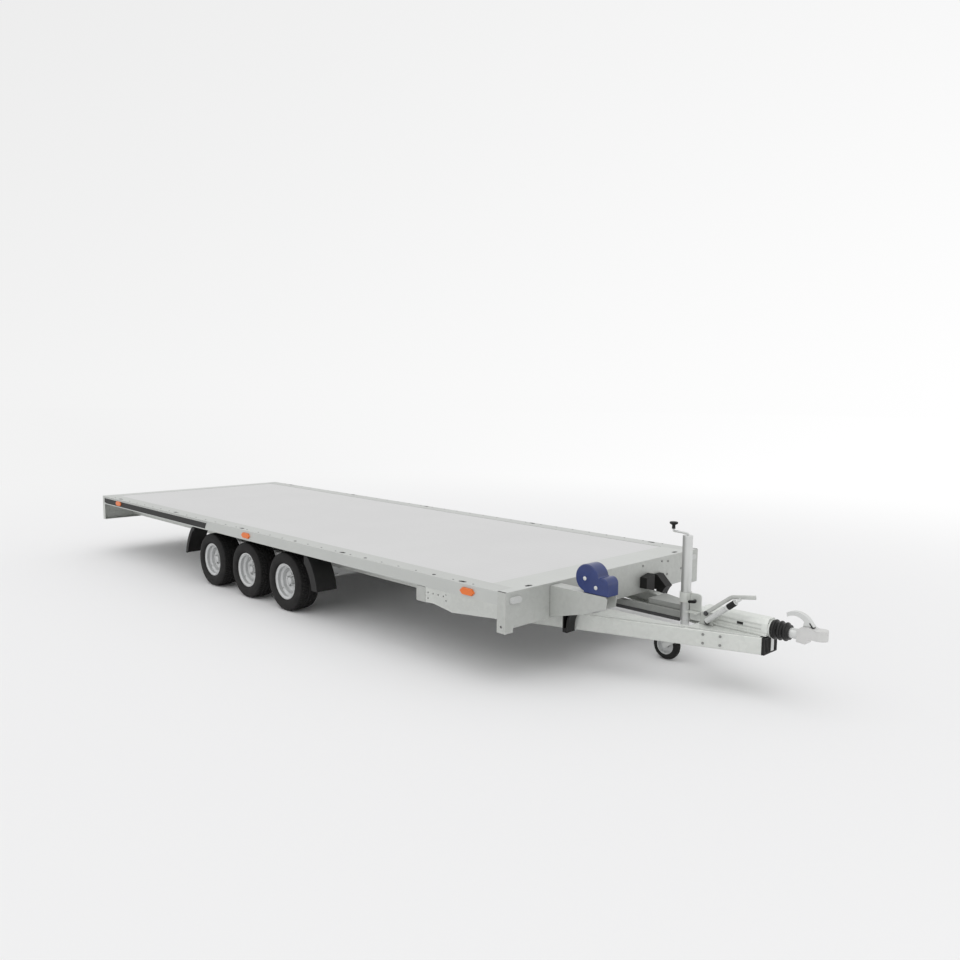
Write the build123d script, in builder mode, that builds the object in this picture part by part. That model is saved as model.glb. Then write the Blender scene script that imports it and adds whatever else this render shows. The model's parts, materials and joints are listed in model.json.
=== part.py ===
from build123d import *
import math
import os

# Tri-axle flatbed trailer with a braked A-frame drawbar, jockey wheel and side winch. Millimetres.
# Origin on the ground under the middle of the overall length; +X forwards, +Y to the left, +Z up.

os.makedirs("parts", exist_ok=True)

# ------------------------------------------------------------------ driving sizes
deck_length = 6053.0
deck_width = 2150.0
coupling_reach = 1487.0
overall_length = deck_length + coupling_reach
deck_front = overall_length / 2 - coupling_reach
deck_rear = deck_front - deck_length
half_width = deck_width / 2
sides = {"right": -1, "left": 1}

seat_gap = 0.3
running_gap = 0.3

# wheels: low tyres on 10 inch rims, three axles close together
axle_pitch = 597.7
axle_setback = 3063.0
middle_axle_x = deck_front - axle_setback
axle_positions = {
    "front": middle_axle_x + axle_pitch,
    "middle": middle_axle_x,
    "rear": middle_axle_x - axle_pitch,
}
tyre_radius = 237.0
tyre_width = 195.0
tyre_inset = 15.0
tyre_crown = 2.5
tyre_headroom = 29.0
rim_flange_radius = 145.0
rim_half_width = 80.0
rim_wall = 4.0
rim_dish = 14.0
bead_radius = 127.0
drop_radius = 106.0
disc_thickness = 8.0
centre_bore_radius = 34.0
stud_circle_radius = 56.0
stud_count = 5
stud_hole_radius = 8.0
wheel_y = half_width - tyre_inset - tyre_width / 2

# deck edge
rail_height = 85.0
rail_top_width = 137.0
rail_box_width = 64.0
rail_wall = 4.0
rail_flange = 8.0
rail_edge_radius = 6.0
rail_bottom = 2 * tyre_radius + tyre_headroom
deck_height = rail_bottom + rail_height
band_inner_y = half_width - rail_top_width
front_band = 242.0
rear_band = 120.0
floor_step = 2.0
floor_thickness = 18.0
floor_top = deck_height - floor_step
floor_bottom = floor_top - floor_thickness

# lashing points: oval pans let into the top of the rails
pan_length = 62.0
pan_width = 30.0
pan_depth = 5.0
pan_from_edge = 30.0
pan_offsets = (403.0, 1680.0, 3130.0, 4375.0, 5650.0)
front_pan_from_edge = 45.0
front_pan_y = half_width - 255.0

# end panels and the aprons behind the front corners
panel_thickness = 4.0
panel_depth = 225.0
panel_bottom = deck_height - panel_depth
post_depth = 70.0
post_drop = 28.0
post_bottom = panel_bottom - post_drop
post_hole_radius = 9.0
rear_return = 50.0
apron_length = 747.0
apron_overlap = 20.0
apron_tail = 90.0
apron_fold = 40.0
apron_front_depth = 85.0
apron_full_depth = 124.0
apron_knee_depth = 98.0
apron_tail_depth = 105.0
apron_bolt_radius = 5.5
bolt_pitch = 49.0
lamp_proud = 6.0

# chassis
beam_width = 60.0
beam_to_arm = 32.0
beam_wall = 5.0
beam_bottom = panel_bottom
cross_width = 50.0
cross_count = 12

# rubber-sprung axles
axle_tube = 70.0
axle_drop = 72.0
axle_z = beam_bottom - axle_drop
axle_lead = 150.0
axle_seat_length = 150.0
arm_thickness = 34.0
arm_to_wheel = 146.5
arm_inner = wheel_y - arm_to_wheel - arm_thickness
arm_end_radius = 36.0
back_plate = 8.0
drum_inner = arm_inner + arm_thickness + back_plate
drum_radius = 96.0
drum_to_disc = 5.0
hub_end = wheel_y - drum_to_disc
hub_nose = 34.0
beam_y = arm_inner - beam_to_arm - beam_width / 2

# drawbar
leg_slope = 0.3502
leg_angle = math.atan(leg_slope)
leg_height = 104.0
leg_width = 72.0
leg_wall = 5.0
leg_front_reach = 1150.0
leg_front_y = 80.0
leg_past_beam = 45.0
leg_length = (beam_y + leg_past_beam - leg_front_y) / math.sin(leg_angle)
leg_top = panel_bottom
leg_bottom = leg_top - leg_height
leg_across = leg_width / math.cos(leg_angle)
leg_bolt_radius = 7.0
leg_bolts_back = (255.0, 357.0)
leg_bolt_gap = 54.0
plug_thickness = 16.0
plate_thickness = 8.0
plate_top = leg_top + plate_thickness
gusset_rear = 140.0
gusset_fronts = {"right": 700.0, "left": 425.0}
gusset_inner = 220.0
gusset_lip_fronts = {"right": 500.0, "left": 425.0}
gusset_lip_depth = 45.0
gusset_edge = 8.0

# overrun device and coupling, all about the shaft's centre line
shaft_clearance = 6.0
shaft_radius = 31.0
shaft_z = plate_top + shaft_clearance + shaft_radius
shaft_wall = 6.0
housing_rear = deck_front + 720.0
housing_front = deck_front + leg_front_reach + seat_gap
housing_half_width = 54.0
housing_top = shaft_z + 62.0
collar_length = 10.0
bellows_ribs = 3
bellows_pitch = 34.0
bellows_radius = 60.0
bellows_groove = 16.0
bellows_cuff = 6.0
bellows_taper = 2.0
ball_radius = 25.0
ball_clearance = 0.5
ball_z = shaft_z + 12.0
head_radius = 44.0
head_rear = deck_front + 1318.0
head_rear_half_width = 36.0
head_top = shaft_z + 48.0
head_lip = shaft_z - 8.0
ball_x = overall_length / 2 - head_radius
handle_half_width = 17.0

# handbrake lever, on the right of the overrun housing
brake_y = -96.0
quadrant_thickness = 10.0
spring_offset = 28.0
spring_radius = 16.0

# jockey
jockey_x = deck_front + 474.0
jockey_y = 150.0
jockey_tube_radius = 33.0
jockey_tube_wall = 3.5
jockey_tube_height = 561.0
jockey_raise = 50.0
jockey_wheel_radius = 100.0
jockey_wheel_width = 50.0
jockey_rim_radius = 62.0
jockey_trail = 130.0
jockey_wheel_x = jockey_x - jockey_trail
jockey_inner_radius = 27.0
jockey_inner_wall = 4.0
jockey_inner_length = 400.0
fork_plate = 5.0
fork_inner = jockey_wheel_width / 2 + 4
fork_top = 2 * jockey_wheel_radius + 36
jockey_tube_bottom = fork_top + jockey_raise + 14
jockey_tube_top = jockey_tube_bottom + jockey_tube_height
clamp_bottom = leg_top + 57.0
clamp_height = 66.0
clamp_top = clamp_bottom + clamp_height
clamp_wall = 7.0
clamp_pin_x = jockey_x + 74
clamp_pin_z = clamp_bottom + 18
bracket_thickness = 10.0
crank_reach = 110.0
crank_radius = 7.0
knob_rise = 30.0
knob_x = jockey_x - crank_reach
knob_bottom = jockey_tube_top + knob_rise

# winch and its arm, on the right of the drawbar
console_outer = 669.0
console_width = 99.0
console_inner = console_outer - console_width
console_reach = 443.0
console_top = deck_height - 14.0
console_wall = 4.0
winch_outer = console_outer - 4
winch_inner = console_inner - 13
winch_radius = 85.0
pinion_radius = 41.0
neck_radius = 14.0
cover_wall = 3.0
winch_x, winch_z = deck_front + 283, console_top + 92
pinion_x, pinion_z = deck_front + 400, console_top + 69

# wheel chocks, between the drawbar's legs and the winch arm
chock_gap = 3.0

# mudguards
guard_wall = 3.0
guard_inset = 12.0
guard_width = 183.0
guard_outer = half_width - guard_inset
guard_inner = guard_outer - guard_width
guard_front_lip = 72.0
guard_rear_lip = 35.0
guard_flap_reach = 475.0
guard_flap_bottom = tyre_radius - 2
guard_corner_radius = 90.0
guard_level = 302.0
guard_top = rail_bottom - seat_gap - guard_wall / 2

# lamps and the rubbing strips
marker_length = 130.0
marker_height = 46.0
marker_depth = 12.0
marker_drop = 44.0
strip_thickness = 3.0
strip_height = 55.0
strip_top = deck_height - 12.0
strip_front = deck_front - 3700.0
strip_rear = deck_rear + 58.0
strip_slant = 32.0
front_lamp_y = half_width - 85.0
front_lamp_drop = 54.0
rear_lamp_width = 230.0
rear_lamp_height = 100.0
rear_lamp_lap = 10.0
rear_lamp_y = half_width - 175.0
rear_lamp_z = deck_height - 133.0


def finish(piece, label):
    piece.label = label
    export_step(piece, f"parts/{label}.step")


def outward(side, distance, x=0.0, z=0.0):
    # sketch plane facing away from the trailer's middle, `distance` out on that side
    return Plane(origin=(x, side * distance, z), x_dir=(-side, 0, 0), z_dir=(0, side, 0))


def flat_to(side, x):
    # X on the sketch planes of outward(): the left side's plane is seen mirrored
    return -side * x


def hollow_rectangle(width, height, wall):
    Rectangle(width, height)
    Rectangle(width - 2 * wall, height - 2 * wall, mode=Mode.SUBTRACT)


# ------------------------------------------------------------------ deck
with BuildPart() as deck_floor:
    floor_length = deck_length - front_band - rear_band
    with BuildSketch(Plane.XY.offset(floor_bottom)):
        with Locations((deck_rear + rear_band + floor_length / 2, 0)):
            Rectangle(floor_length, 2 * band_inner_y)
    extrude(amount=floor_thickness)
finish(deck_floor.part, "deck_floor")

rail_front = deck_front - post_depth
rail_rear = deck_rear + lamp_proud + panel_thickness


def side_rail(side):
    # box section under a wide top flange, drawn in the cross plane
    with BuildPart() as rail:
        with BuildSketch(Plane.YZ.offset(rail_rear)):
            box_y = side * (half_width - rail_box_width / 2)
            with Locations((box_y, rail_bottom + rail_height / 2)):
                Rectangle(rail_box_width, rail_height)
            with Locations((side * (half_width - rail_top_width / 2), deck_height - rail_flange / 2)):
                Rectangle(rail_top_width, rail_flange)
            inner_height = rail_height - rail_flange - rail_wall
            with Locations((box_y, rail_bottom + rail_wall + inner_height / 2)):
                Rectangle(rail_box_width - 2 * rail_wall, inner_height, mode=Mode.SUBTRACT)
        extrude(amount=rail_front - rail_rear)
        outer_edges = rail.edges().filter_by(Axis.X).sort_by(Axis.Y)[::side][-2:]
        fillet(outer_edges.sort_by(Axis.Z)[-1], rail_edge_radius)
        with BuildSketch(Plane.XY.offset(deck_height)):
            pans = [(deck_front - offset, side * (half_width - pan_from_edge)) for offset in pan_offsets]
            with Locations(*pans):
                SlotOverall(pan_length, pan_width)
        extrude(amount=-pan_depth, mode=Mode.SUBTRACT)
    return rail.part


for side_name, side in sides.items():
    finish(side_rail(side), f"rail_{side_name}")


def cross_box(start, end, span):
    # rectangular tube across the trailer between two X stations, under the top bands
    height = rail_height - rail_flange
    with BuildSketch(Plane.XZ.offset(-span / 2)) as section:
        with Locations(((start + end) / 2, rail_bottom + height / 2)):
            hollow_rectangle(end - start, height, rail_wall)
    extrude(section.sketch, amount=span)


with BuildPart() as front_rail:
    with BuildSketch(Plane.XY.offset(deck_height - rail_flange)):
        with Locations((deck_front - (front_band + panel_thickness) / 2, 0)):
            Rectangle(front_band - panel_thickness, 2 * band_inner_y)
        with Locations((deck_front - (post_depth + panel_thickness) / 2, 0)):
            Rectangle(post_depth - panel_thickness, deck_width - 2 * panel_thickness)
    extrude(amount=rail_flange)
    cross_box(deck_front - post_depth, deck_front - panel_thickness, deck_width - 2 * panel_thickness)
    with BuildSketch(Plane.XY.offset(deck_height)):
        with Locations((deck_front - front_pan_from_edge, 0)):
            with GridLocations(1, 2 * front_pan_y, 1, 2):
                SlotOverall(pan_length, pan_width, rotation=90)
    extrude(amount=-pan_depth, mode=Mode.SUBTRACT)
finish(front_rail.part, "front_rail")

with BuildPart() as rear_rail:
    with BuildSketch(Plane.XY.offset(deck_height - rail_flange)):
        with Locations(((rail_rear + deck_rear + rear_band) / 2, 0)):
            Rectangle(deck_rear + rear_band - rail_rear, 2 * band_inner_y)
    extrude(amount=rail_flange)
    cross_box(rail_rear, rail_rear + rail_box_width, 2 * (half_width - rail_box_width))
finish(rear_rail.part, "rear_rail")

# ------------------------------------------------------------------ end panels
with BuildPart() as front_panel:
    with BuildSketch(Plane.YZ.offset(deck_front - panel_thickness)):
        with Locations((0, (panel_bottom + deck_height) / 2)):
            Rectangle(deck_width, deck_height - panel_bottom)
        with Locations((0, post_bottom)):
            with GridLocations(deck_width - post_depth, 1, 2, 1):
                Rectangle(post_depth, 2 * (panel_bottom - post_bottom), align=(Align.CENTER, Align.MIN))
    extrude(amount=panel_thickness)
    for side in sides.values():
        with BuildSketch(Plane.XY.offset(post_bottom)):
            with Locations((deck_front - post_depth / 2, side * (half_width - panel_thickness / 2))):
                Rectangle(post_depth, panel_thickness)
        extrude(amount=deck_height - post_bottom)
        with BuildSketch(outward(side, half_width)):
            with Locations((flat_to(side, deck_front - post_depth / 2), post_bottom + 40)):
                Circle(post_hole_radius)
        extrude(amount=-panel_thickness, mode=Mode.SUBTRACT)
finish(front_panel.part, "front_panel")

rear_face = deck_rear + lamp_proud
with BuildPart() as rear_panel:
    with BuildSketch(Plane.YZ.offset(rear_face)):
        with Locations((0, (post_bottom + deck_height) / 2)):
            Rectangle(deck_width, deck_height - post_bottom)
        with Locations((rear_lamp_y, rear_lamp_z), (-rear_lamp_y, rear_lamp_z)):
            hole_width = rear_lamp_width - 2 * rear_lamp_lap
            hole_height = rear_lamp_height - 2 * rear_lamp_lap
            RectangleRounded(hole_width, hole_height, 8, mode=Mode.SUBTRACT)
    extrude(amount=panel_thickness)
    with BuildSketch(Plane.XY.offset(post_bottom)):
        with Locations((rear_face + rear_return / 2, 0)):
            Rectangle(rear_return, deck_width)
    extrude(amount=panel_thickness)
    for side in sides.values():
        with BuildSketch(Plane.XY.offset(post_bottom)):
            with Locations((rear_face + rear_return / 2, side * (half_width - panel_thickness / 2))):
                Rectangle(rear_return, panel_thickness)
        extrude(amount=rail_bottom - post_bottom)
finish(rear_panel.part, "rear_panel")


# ------------------------------------------------------------------ side aprons and strips
def side_apron(side):
    # deep plate behind the corner post, lapped at its rear end onto a set-back tail with a folded foot
    front = deck_front - post_depth
    plate_rear = deck_front - apron_length + apron_overlap
    tail_rear = plate_rear - apron_tail
    with BuildPart() as apron:
        with BuildSketch(outward(side, half_width)):
            with BuildLine():
                Polyline(
                    (flat_to(side, front), rail_bottom),
                    (flat_to(side, front), rail_bottom - apron_front_depth),
                    (flat_to(side, deck_front - 466), rail_bottom - apron_full_depth),
                    (flat_to(side, deck_front - 640), rail_bottom - apron_knee_depth),
                    (flat_to(side, plate_rear), rail_bottom - apron_knee_depth - 4),
                    (flat_to(side, plate_rear), rail_bottom),
                    close=True,
                )
            make_face()
            upper_row = [(697 - bolt_pitch * index, 33) for index in range(4)]
            lower_bolts = [(697, 71), (523, 19), (523, 58)]
            for back, down in upper_row + lower_bolts:
                with Locations((flat_to(side, deck_front - back), rail_bottom - down)):
                    Circle(apron_bolt_radius, mode=Mode.SUBTRACT)
        extrude(amount=-panel_thickness)
        with BuildSketch(outward(side, half_width - panel_thickness)):
            with Locations((flat_to(side, (tail_rear + plate_rear + apron_overlap) / 2), rail_bottom)):
                Rectangle(apron_tail + apron_overlap, apron_tail_depth, align=(Align.CENTER, Align.MAX))
        extrude(amount=-panel_thickness)
        with BuildSketch(outward(side, half_width - panel_thickness)):
            with Locations((flat_to(side, tail_rear + panel_thickness / 2), rail_bottom)):
                Rectangle(panel_thickness, apron_tail_depth, align=(Align.CENTER, Align.MAX))
        extrude(amount=-apron_fold)
    return apron.part


def side_strip(side):
    with BuildSketch(outward(side, half_width)) as outline:
        with BuildLine():
            Polyline(
                (flat_to(side, strip_front), strip_top),
                (flat_to(side, strip_front - strip_slant), strip_top - strip_height),
                (flat_to(side, strip_rear), strip_top - strip_height),
                (flat_to(side, strip_rear), strip_top),
                close=True,
            )
        make_face()
    extrude(outline.sketch, amount=strip_thickness)


for side_name, side in sides.items():
    finish(side_apron(side), f"apron_{side_name}")

with BuildPart() as side_strips:
    for side in sides.values():
        side_strip(side)
finish(side_strips.part, "side_strips")

# ------------------------------------------------------------------ chassis
beam_height = rail_bottom - beam_bottom


def chassis_beam(side):
    # channel, open towards the middle
    with BuildPart() as beam:
        with BuildSketch(Plane.YZ.offset(rail_rear)):
            with Locations((side * beam_y, beam_bottom + beam_height / 2)):
                Rectangle(beam_width, beam_height)
            with Locations((side * (beam_y - beam_wall), beam_bottom + beam_height / 2)):
                Rectangle(beam_width, beam_height - 2 * beam_wall, mode=Mode.SUBTRACT)
        extrude(amount=deck_front - panel_thickness - rail_rear)
    return beam.part


for side_name, side in sides.items():
    finish(chassis_beam(side), f"chassis_beam_{side_name}")

cross_span = 2 * (half_width - rail_box_width)
cross_first = rail_rear + rail_box_width + 130
cross_last = deck_front - front_band - 60
cross_step = (cross_last - cross_first) / (cross_count - 1)
cross_height = floor_bottom - rail_bottom
with BuildPart() as cross_members:
    for index in range(cross_count):
        cross_x = cross_first + cross_step * index
        with BuildSketch(Plane.XZ.offset(-cross_span / 2)):
            with Locations((cross_x, rail_bottom + cross_height / 2)):
                Rectangle(cross_width, cross_height)
            with Locations((cross_x - rail_wall, rail_bottom + cross_height / 2)):
                Rectangle(cross_width, cross_height - 2 * rail_wall, mode=Mode.SUBTRACT)
        extrude(amount=cross_span)
finish(cross_members.part, "cross_members")


# ------------------------------------------------------------------ drawbar
def leg_plane(side):
    # square to the leg at its outer front corner; local x outwards, local y up
    along = Vector(-math.cos(leg_angle), side * math.sin(leg_angle), 0)
    across = Vector(math.sin(leg_angle), side * math.cos(leg_angle), 0)
    front = Vector(deck_front + leg_front_reach, side * leg_front_y, leg_top - leg_height / 2)
    return Plane(origin=front, x_dir=across, z_dir=along)


def leg_outer_y(reach):
    # outer face of a leg at a distance ahead of the deck
    return leg_front_y + (leg_front_reach - reach) * leg_slope


def drawbar_leg(side):
    # channel, web outwards, cut square to the trailer at its front, with two pairs of bolt holes
    plane = leg_plane(side)
    with BuildPart() as leg:
        with BuildSketch(plane) as section:
            with Locations((-leg_width / 2, 0)):
                Rectangle(leg_width, leg_height)
            fillet(section.vertices().sort_by(Axis.X)[-2:], leg_wall + 3)
            with Locations((-leg_width / 2 - leg_wall, 0)):
                Rectangle(leg_width, leg_height - 2 * leg_wall, mode=Mode.SUBTRACT)
        extrude(amount=leg_length)
        extrude(section.sketch, amount=-leg_width)
        web = Plane(origin=plane.origin, x_dir=plane.z_dir, z_dir=plane.x_dir)
        with BuildSketch(web):
            for back in leg_bolts_back:
                with Locations((back, leg_bolt_gap / 2), (back, -leg_bolt_gap / 2)):
                    Circle(leg_bolt_radius)
        extrude(amount=-leg_wall, mode=Mode.SUBTRACT)
        split(bisect_by=Plane.YZ.offset(deck_front + leg_front_reach - plug_thickness), keep=Keep.BOTTOM)
    return leg.part


for side_name, side in sides.items():
    finish(drawbar_leg(side), f"drawbar_leg_{side_name}")


def leg_plug(side):
    # ribbed plastic plug closing the channel's end, flat across the front
    front = deck_front + leg_front_reach
    corners = []
    for reach in (leg_front_reach, leg_front_reach - plug_thickness):
        outer = leg_outer_y(reach)
        corners.append([(deck_front + reach, side * outer), (deck_front + reach, side * (outer - leg_across))])
    with BuildSketch(Plane.XY.offset(leg_bottom)) as body:
        with BuildLine() as outline:
            Polyline(corners[0][0], corners[0][1], corners[1][1], corners[1][0], close=True)
        make_face(outline.edges())
    extrude(body.sketch, amount=leg_height, dir=(0, 0, 1))
    with BuildSketch(Plane.YZ.offset(front)) as grooves:
        with Locations((side * (leg_front_y - leg_across / 2), leg_top - leg_height / 2)):
            with GridLocations(17, 1, 4, 1):
                Rectangle(9, leg_height - 16)
    extrude(grooves.sketch, amount=-5, mode=Mode.SUBTRACT)


with BuildPart() as drawbar_plugs:
    for side in sides.values():
        leg_plug(side)
finish(drawbar_plugs.part, "drawbar_plugs")


def drawbar_gusset(side, gusset_front, lip_front):
    # triangular plate on a leg, its inner edge turned down
    rear_outer = leg_outer_y(gusset_rear) - gusset_edge
    front_outer = leg_outer_y(gusset_front) - gusset_edge
    with BuildSketch(Plane.XY.offset(leg_top)) as sheet:
        with BuildLine() as outline:
            Polyline(
                (deck_front + gusset_rear, side * gusset_inner),
                (deck_front + gusset_rear, side * rear_outer),
                (deck_front + gusset_front, side * front_outer),
                (deck_front + gusset_front, side * gusset_inner),
                close=True,
            )
        make_face(outline.edges())
    extrude(sheet.sketch, amount=plate_thickness, dir=(0, 0, 1))
    with BuildSketch(Plane.XY.offset(leg_top)) as lip:
        with Locations((deck_front + gusset_rear, side * (gusset_inner + leg_wall / 2))):
            Rectangle(lip_front - gusset_rear, leg_wall, align=(Align.MIN, Align.CENTER))
    extrude(lip.sketch, amount=gusset_lip_depth, dir=(0, 0, -1))


with BuildPart() as drawbar_gussets:
    for side_name, side in sides.items():
        drawbar_gusset(side, gusset_fronts[side_name], gusset_lip_fronts[side_name])
finish(drawbar_gussets.part, "drawbar_gussets")

with BuildPart() as drawbar_plate:
    with BuildSketch(Plane.XY.offset(leg_top)):
        with BuildLine():
            Polyline(
                (deck_front + 1122, leg_outer_y(1122) - 8),
                (deck_front + 715, leg_outer_y(715) - 14),
                (deck_front + 715, 14 - leg_outer_y(715)),
                (deck_front + 1122, 8 - leg_outer_y(1122)),
                close=True,
            )
        make_face()
    extrude(amount=plate_thickness)
finish(drawbar_plate.part, "drawbar_plate")

# ------------------------------------------------------------------ overrun device
housing_length = housing_front - housing_rear
with BuildPart() as overrun_housing:
    with BuildSketch(Plane.YZ.offset(housing_rear)):
        with BuildLine():
            Polyline(
                (0, plate_top),
                (72, plate_top),
                (72, plate_top + 10),
                (housing_half_width + 2, plate_top + 14),
                (housing_half_width, housing_top - 30),
                (housing_half_width - 16, housing_top - 6),
                (housing_half_width - 26, housing_top),
                (0, housing_top),
                close=True,
            )
        make_face()
        mirror(about=Plane.YZ)
        with Locations((0, shaft_z)):
            Circle(shaft_radius + running_gap, mode=Mode.SUBTRACT)
    extrude(amount=housing_length)
    # the cast front collar that the bellows clip over
    with BuildSketch(Plane.YZ.offset(housing_front)):
        with Locations((0, shaft_z)):
            Circle(bellows_radius - 6)
            Circle(shaft_radius + running_gap, mode=Mode.SUBTRACT)
    extrude(amount=collar_length)
    # two stiffening grooves along each flank
    for side in sides.values():
        with BuildSketch(Plane.YZ.offset(housing_rear + 40)):
            with Locations((side * (housing_half_width + 1), plate_top + 46)):
                with GridLocations(1, 24, 1, 2):
                    Circle(4)
        extrude(amount=housing_length - 80, mode=Mode.SUBTRACT)
finish(overrun_housing.part, "overrun_housing")

bellows_rear = housing_front + collar_length
bellows_front = bellows_rear + bellows_ribs * bellows_pitch + bellows_cuff
with BuildPart() as bellows:
    with BuildSketch(Plane.XZ):
        with BuildLine():
            bore_z = shaft_z + shaft_radius + running_gap
            valley_z = shaft_z + bellows_radius - bellows_groove
            Line((bellows_front, valley_z), (bellows_front, bore_z))
            Line((bellows_front, bore_z), (bellows_rear, bore_z))
            Line((bellows_rear, bore_z), (bellows_rear, valley_z))
            for rib in range(bellows_ribs):
                start = bellows_rear + rib * bellows_pitch
                end = start + bellows_pitch
                crest_z = shaft_z + bellows_radius - rib * bellows_taper
                flank = bellows_pitch / 2 - 8
                shoulder_z = crest_z - 8
                Line((start, valley_z), (start + flank, shoulder_z))
                ThreePointArc(
                    (start + flank, shoulder_z),
                    (start + bellows_pitch / 2, crest_z),
                    (end - flank, shoulder_z),
                )
                Line((end - flank, shoulder_z), (end, valley_z))
            Line((bellows_front - bellows_cuff, valley_z), (bellows_front, valley_z))
        make_face()
    revolve(axis=Axis((0, 0, shaft_z), (1, 0, 0)), revolution_arc=360)
finish(bellows.part, "bellows")

with BuildPart() as coupling_shaft:
    shaft_rear = housing_rear + 30
    with BuildSketch(Plane.YZ.offset(shaft_rear)):
        with Locations((0, shaft_z)):
            Circle(shaft_radius)
            Circle(shaft_radius - shaft_wall, mode=Mode.SUBTRACT)
    extrude(amount=head_rear - shaft_rear)
finish(coupling_shaft.part, "coupling_shaft")

with BuildPart() as coupling_head:
    # side view of the pressed head, full width, then trimmed to its plan outline
    with BuildSketch(Plane.XZ.offset(-head_radius - 4)):
        with BuildLine():
            Polyline(
                (head_rear, shaft_z - 37),
                (head_rear, shaft_z + 32),
                (head_rear + 26, shaft_z + 54),
                (head_rear + 68, shaft_z + 60),
                (head_rear + 100, head_top),
                (overall_length / 2 - 10, head_top + 4),
                (overall_length / 2, head_top - 4),
                (overall_length / 2, head_lip),
                (head_rear + 82, head_lip),
            )
            skirt = ThreePointArc(
                (head_rear + 82, head_lip),
                (head_rear + 66, shaft_z - 20),
                (head_rear + 54, shaft_z - 41),
            )
            Line(skirt @ 1, (head_rear, shaft_z - 37))
        make_face()
    extrude(amount=2 * head_radius + 8)
    with BuildSketch(Plane.XY.offset(head_top / 2)):
        with BuildLine():
            Line((head_rear, -head_rear_half_width), (ball_x, -head_radius))
            ThreePointArc((ball_x, -head_radius), (overall_length / 2, 0), (ball_x, head_radius))
            Line((ball_x, head_radius), (head_rear, head_rear_half_width))
            Line((head_rear, head_rear_half_width), (head_rear, -head_rear_half_width))
        make_face()
    extrude(amount=head_top, mode=Mode.INTERSECT)
    fillet(coupling_head.edges().filter_by(Axis.Y).sort_by(Axis.Z)[-4:], 5)
    with Locations((ball_x, 0, ball_z)):
        Sphere(ball_radius + ball_clearance, mode=Mode.SUBTRACT)
    with BuildSketch(Plane.XY.offset(head_lip)):
        with Locations((ball_x, 0)):
            Circle(ball_radius + ball_clearance)
    extrude(amount=ball_z - head_lip, mode=Mode.SUBTRACT)
finish(coupling_head.part, "coupling_head")

# curved release handle, hinged on the head's hump
with BuildPart() as coupling_handle:
    with BuildSketch(Plane.XZ.offset(-handle_half_width)):
        with BuildLine():
            root_rear = (head_rear + 28, shaft_z + 54.3 + seat_gap)
            root_front = (head_rear + 92, shaft_z + 62)
            hump = (head_rear + 68, shaft_z + 60 + seat_gap)
            crook = (head_rear + 70, shaft_z + 89)
            Polyline(root_rear, hump, root_front, crook)
            upper = ThreePointArc(
                crook,
                (head_rear, shaft_z + 132),
                (head_rear - 74, shaft_z + 116),
            )
            Line(upper @ 1, (head_rear - 68, shaft_z + 94))
            lower = ThreePointArc(
                (head_rear - 68, shaft_z + 94),
                (head_rear - 8, shaft_z + 106),
                (head_rear + 34, shaft_z + 82),
            )
            Line(lower @ 1, root_rear)
        make_face()
    extrude(amount=2 * handle_half_width)
finish(coupling_handle.part, "coupling_handle")

# ------------------------------------------------------------------ handbrake
lever_foot = (housing_rear + 32, brake_y, shaft_z + 24)
lever_bend = (housing_rear + 218, brake_y, shaft_z + 166)
lever_tip = (housing_rear + 370, brake_y, shaft_z + 190)
with BuildPart() as handbrake_lever:
    with BuildLine():
        FilletPolyline(lever_foot, lever_bend, lever_tip, radius=60)
    lever_slope = Vector(*lever_bend) - Vector(*lever_foot)
    with BuildSketch(Plane(origin=lever_foot, x_dir=(0, 1, 0), z_dir=lever_slope)):
        RectangleRounded(16, 25, 7)
    sweep()
    # quadrant plate that carries the lever, bolted to the housing's flange
    with BuildSketch(Plane.XZ.offset(-brake_y - quadrant_thickness / 2)):
        with BuildLine():
            Polyline(
                (housing_rear + 8, plate_top),
                (housing_rear + 100, plate_top),
                (housing_rear + 92, shaft_z - 8),
                (housing_rear + 66, shaft_z + 44),
                (housing_rear + 24, shaft_z + 40),
                close=True,
            )
        make_face()
    extrude(amount=quadrant_thickness)
finish(handbrake_lever.part, "handbrake_lever")

spring_foot = Vector(housing_rear + 70, brake_y - spring_offset, shaft_z - 6)
spring_axis = Vector(194, 0, 155).normalized()
spring_length = 168.0
cap_length = 76.0
rod_length = 38.0
with BuildPart() as brake_spring:
    with BuildSketch(Plane(origin=spring_foot, z_dir=spring_axis)):
        Circle(spring_radius)
    extrude(amount=spring_length)
    with BuildSketch(Plane(origin=spring_foot + spring_axis * spring_length, z_dir=spring_axis)):
        Circle(spring_radius + 2)
    extrude(amount=cap_length)
    cap_end = spring_foot + spring_axis * (spring_length + cap_length)
    with BuildSketch(Plane(origin=cap_end, z_dir=spring_axis)):
        Circle(spring_radius / 2)
    extrude(amount=rod_length)
    with BuildSketch(Plane.XZ.offset(-spring_foot.Y)):
        with Locations((spring_foot.X + 4, spring_foot.Z + 2)):
            Circle(10)
    extrude(amount=quadrant_thickness / 2 + seat_gap - spring_offset)
finish(brake_spring.part, "brake_spring")

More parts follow.
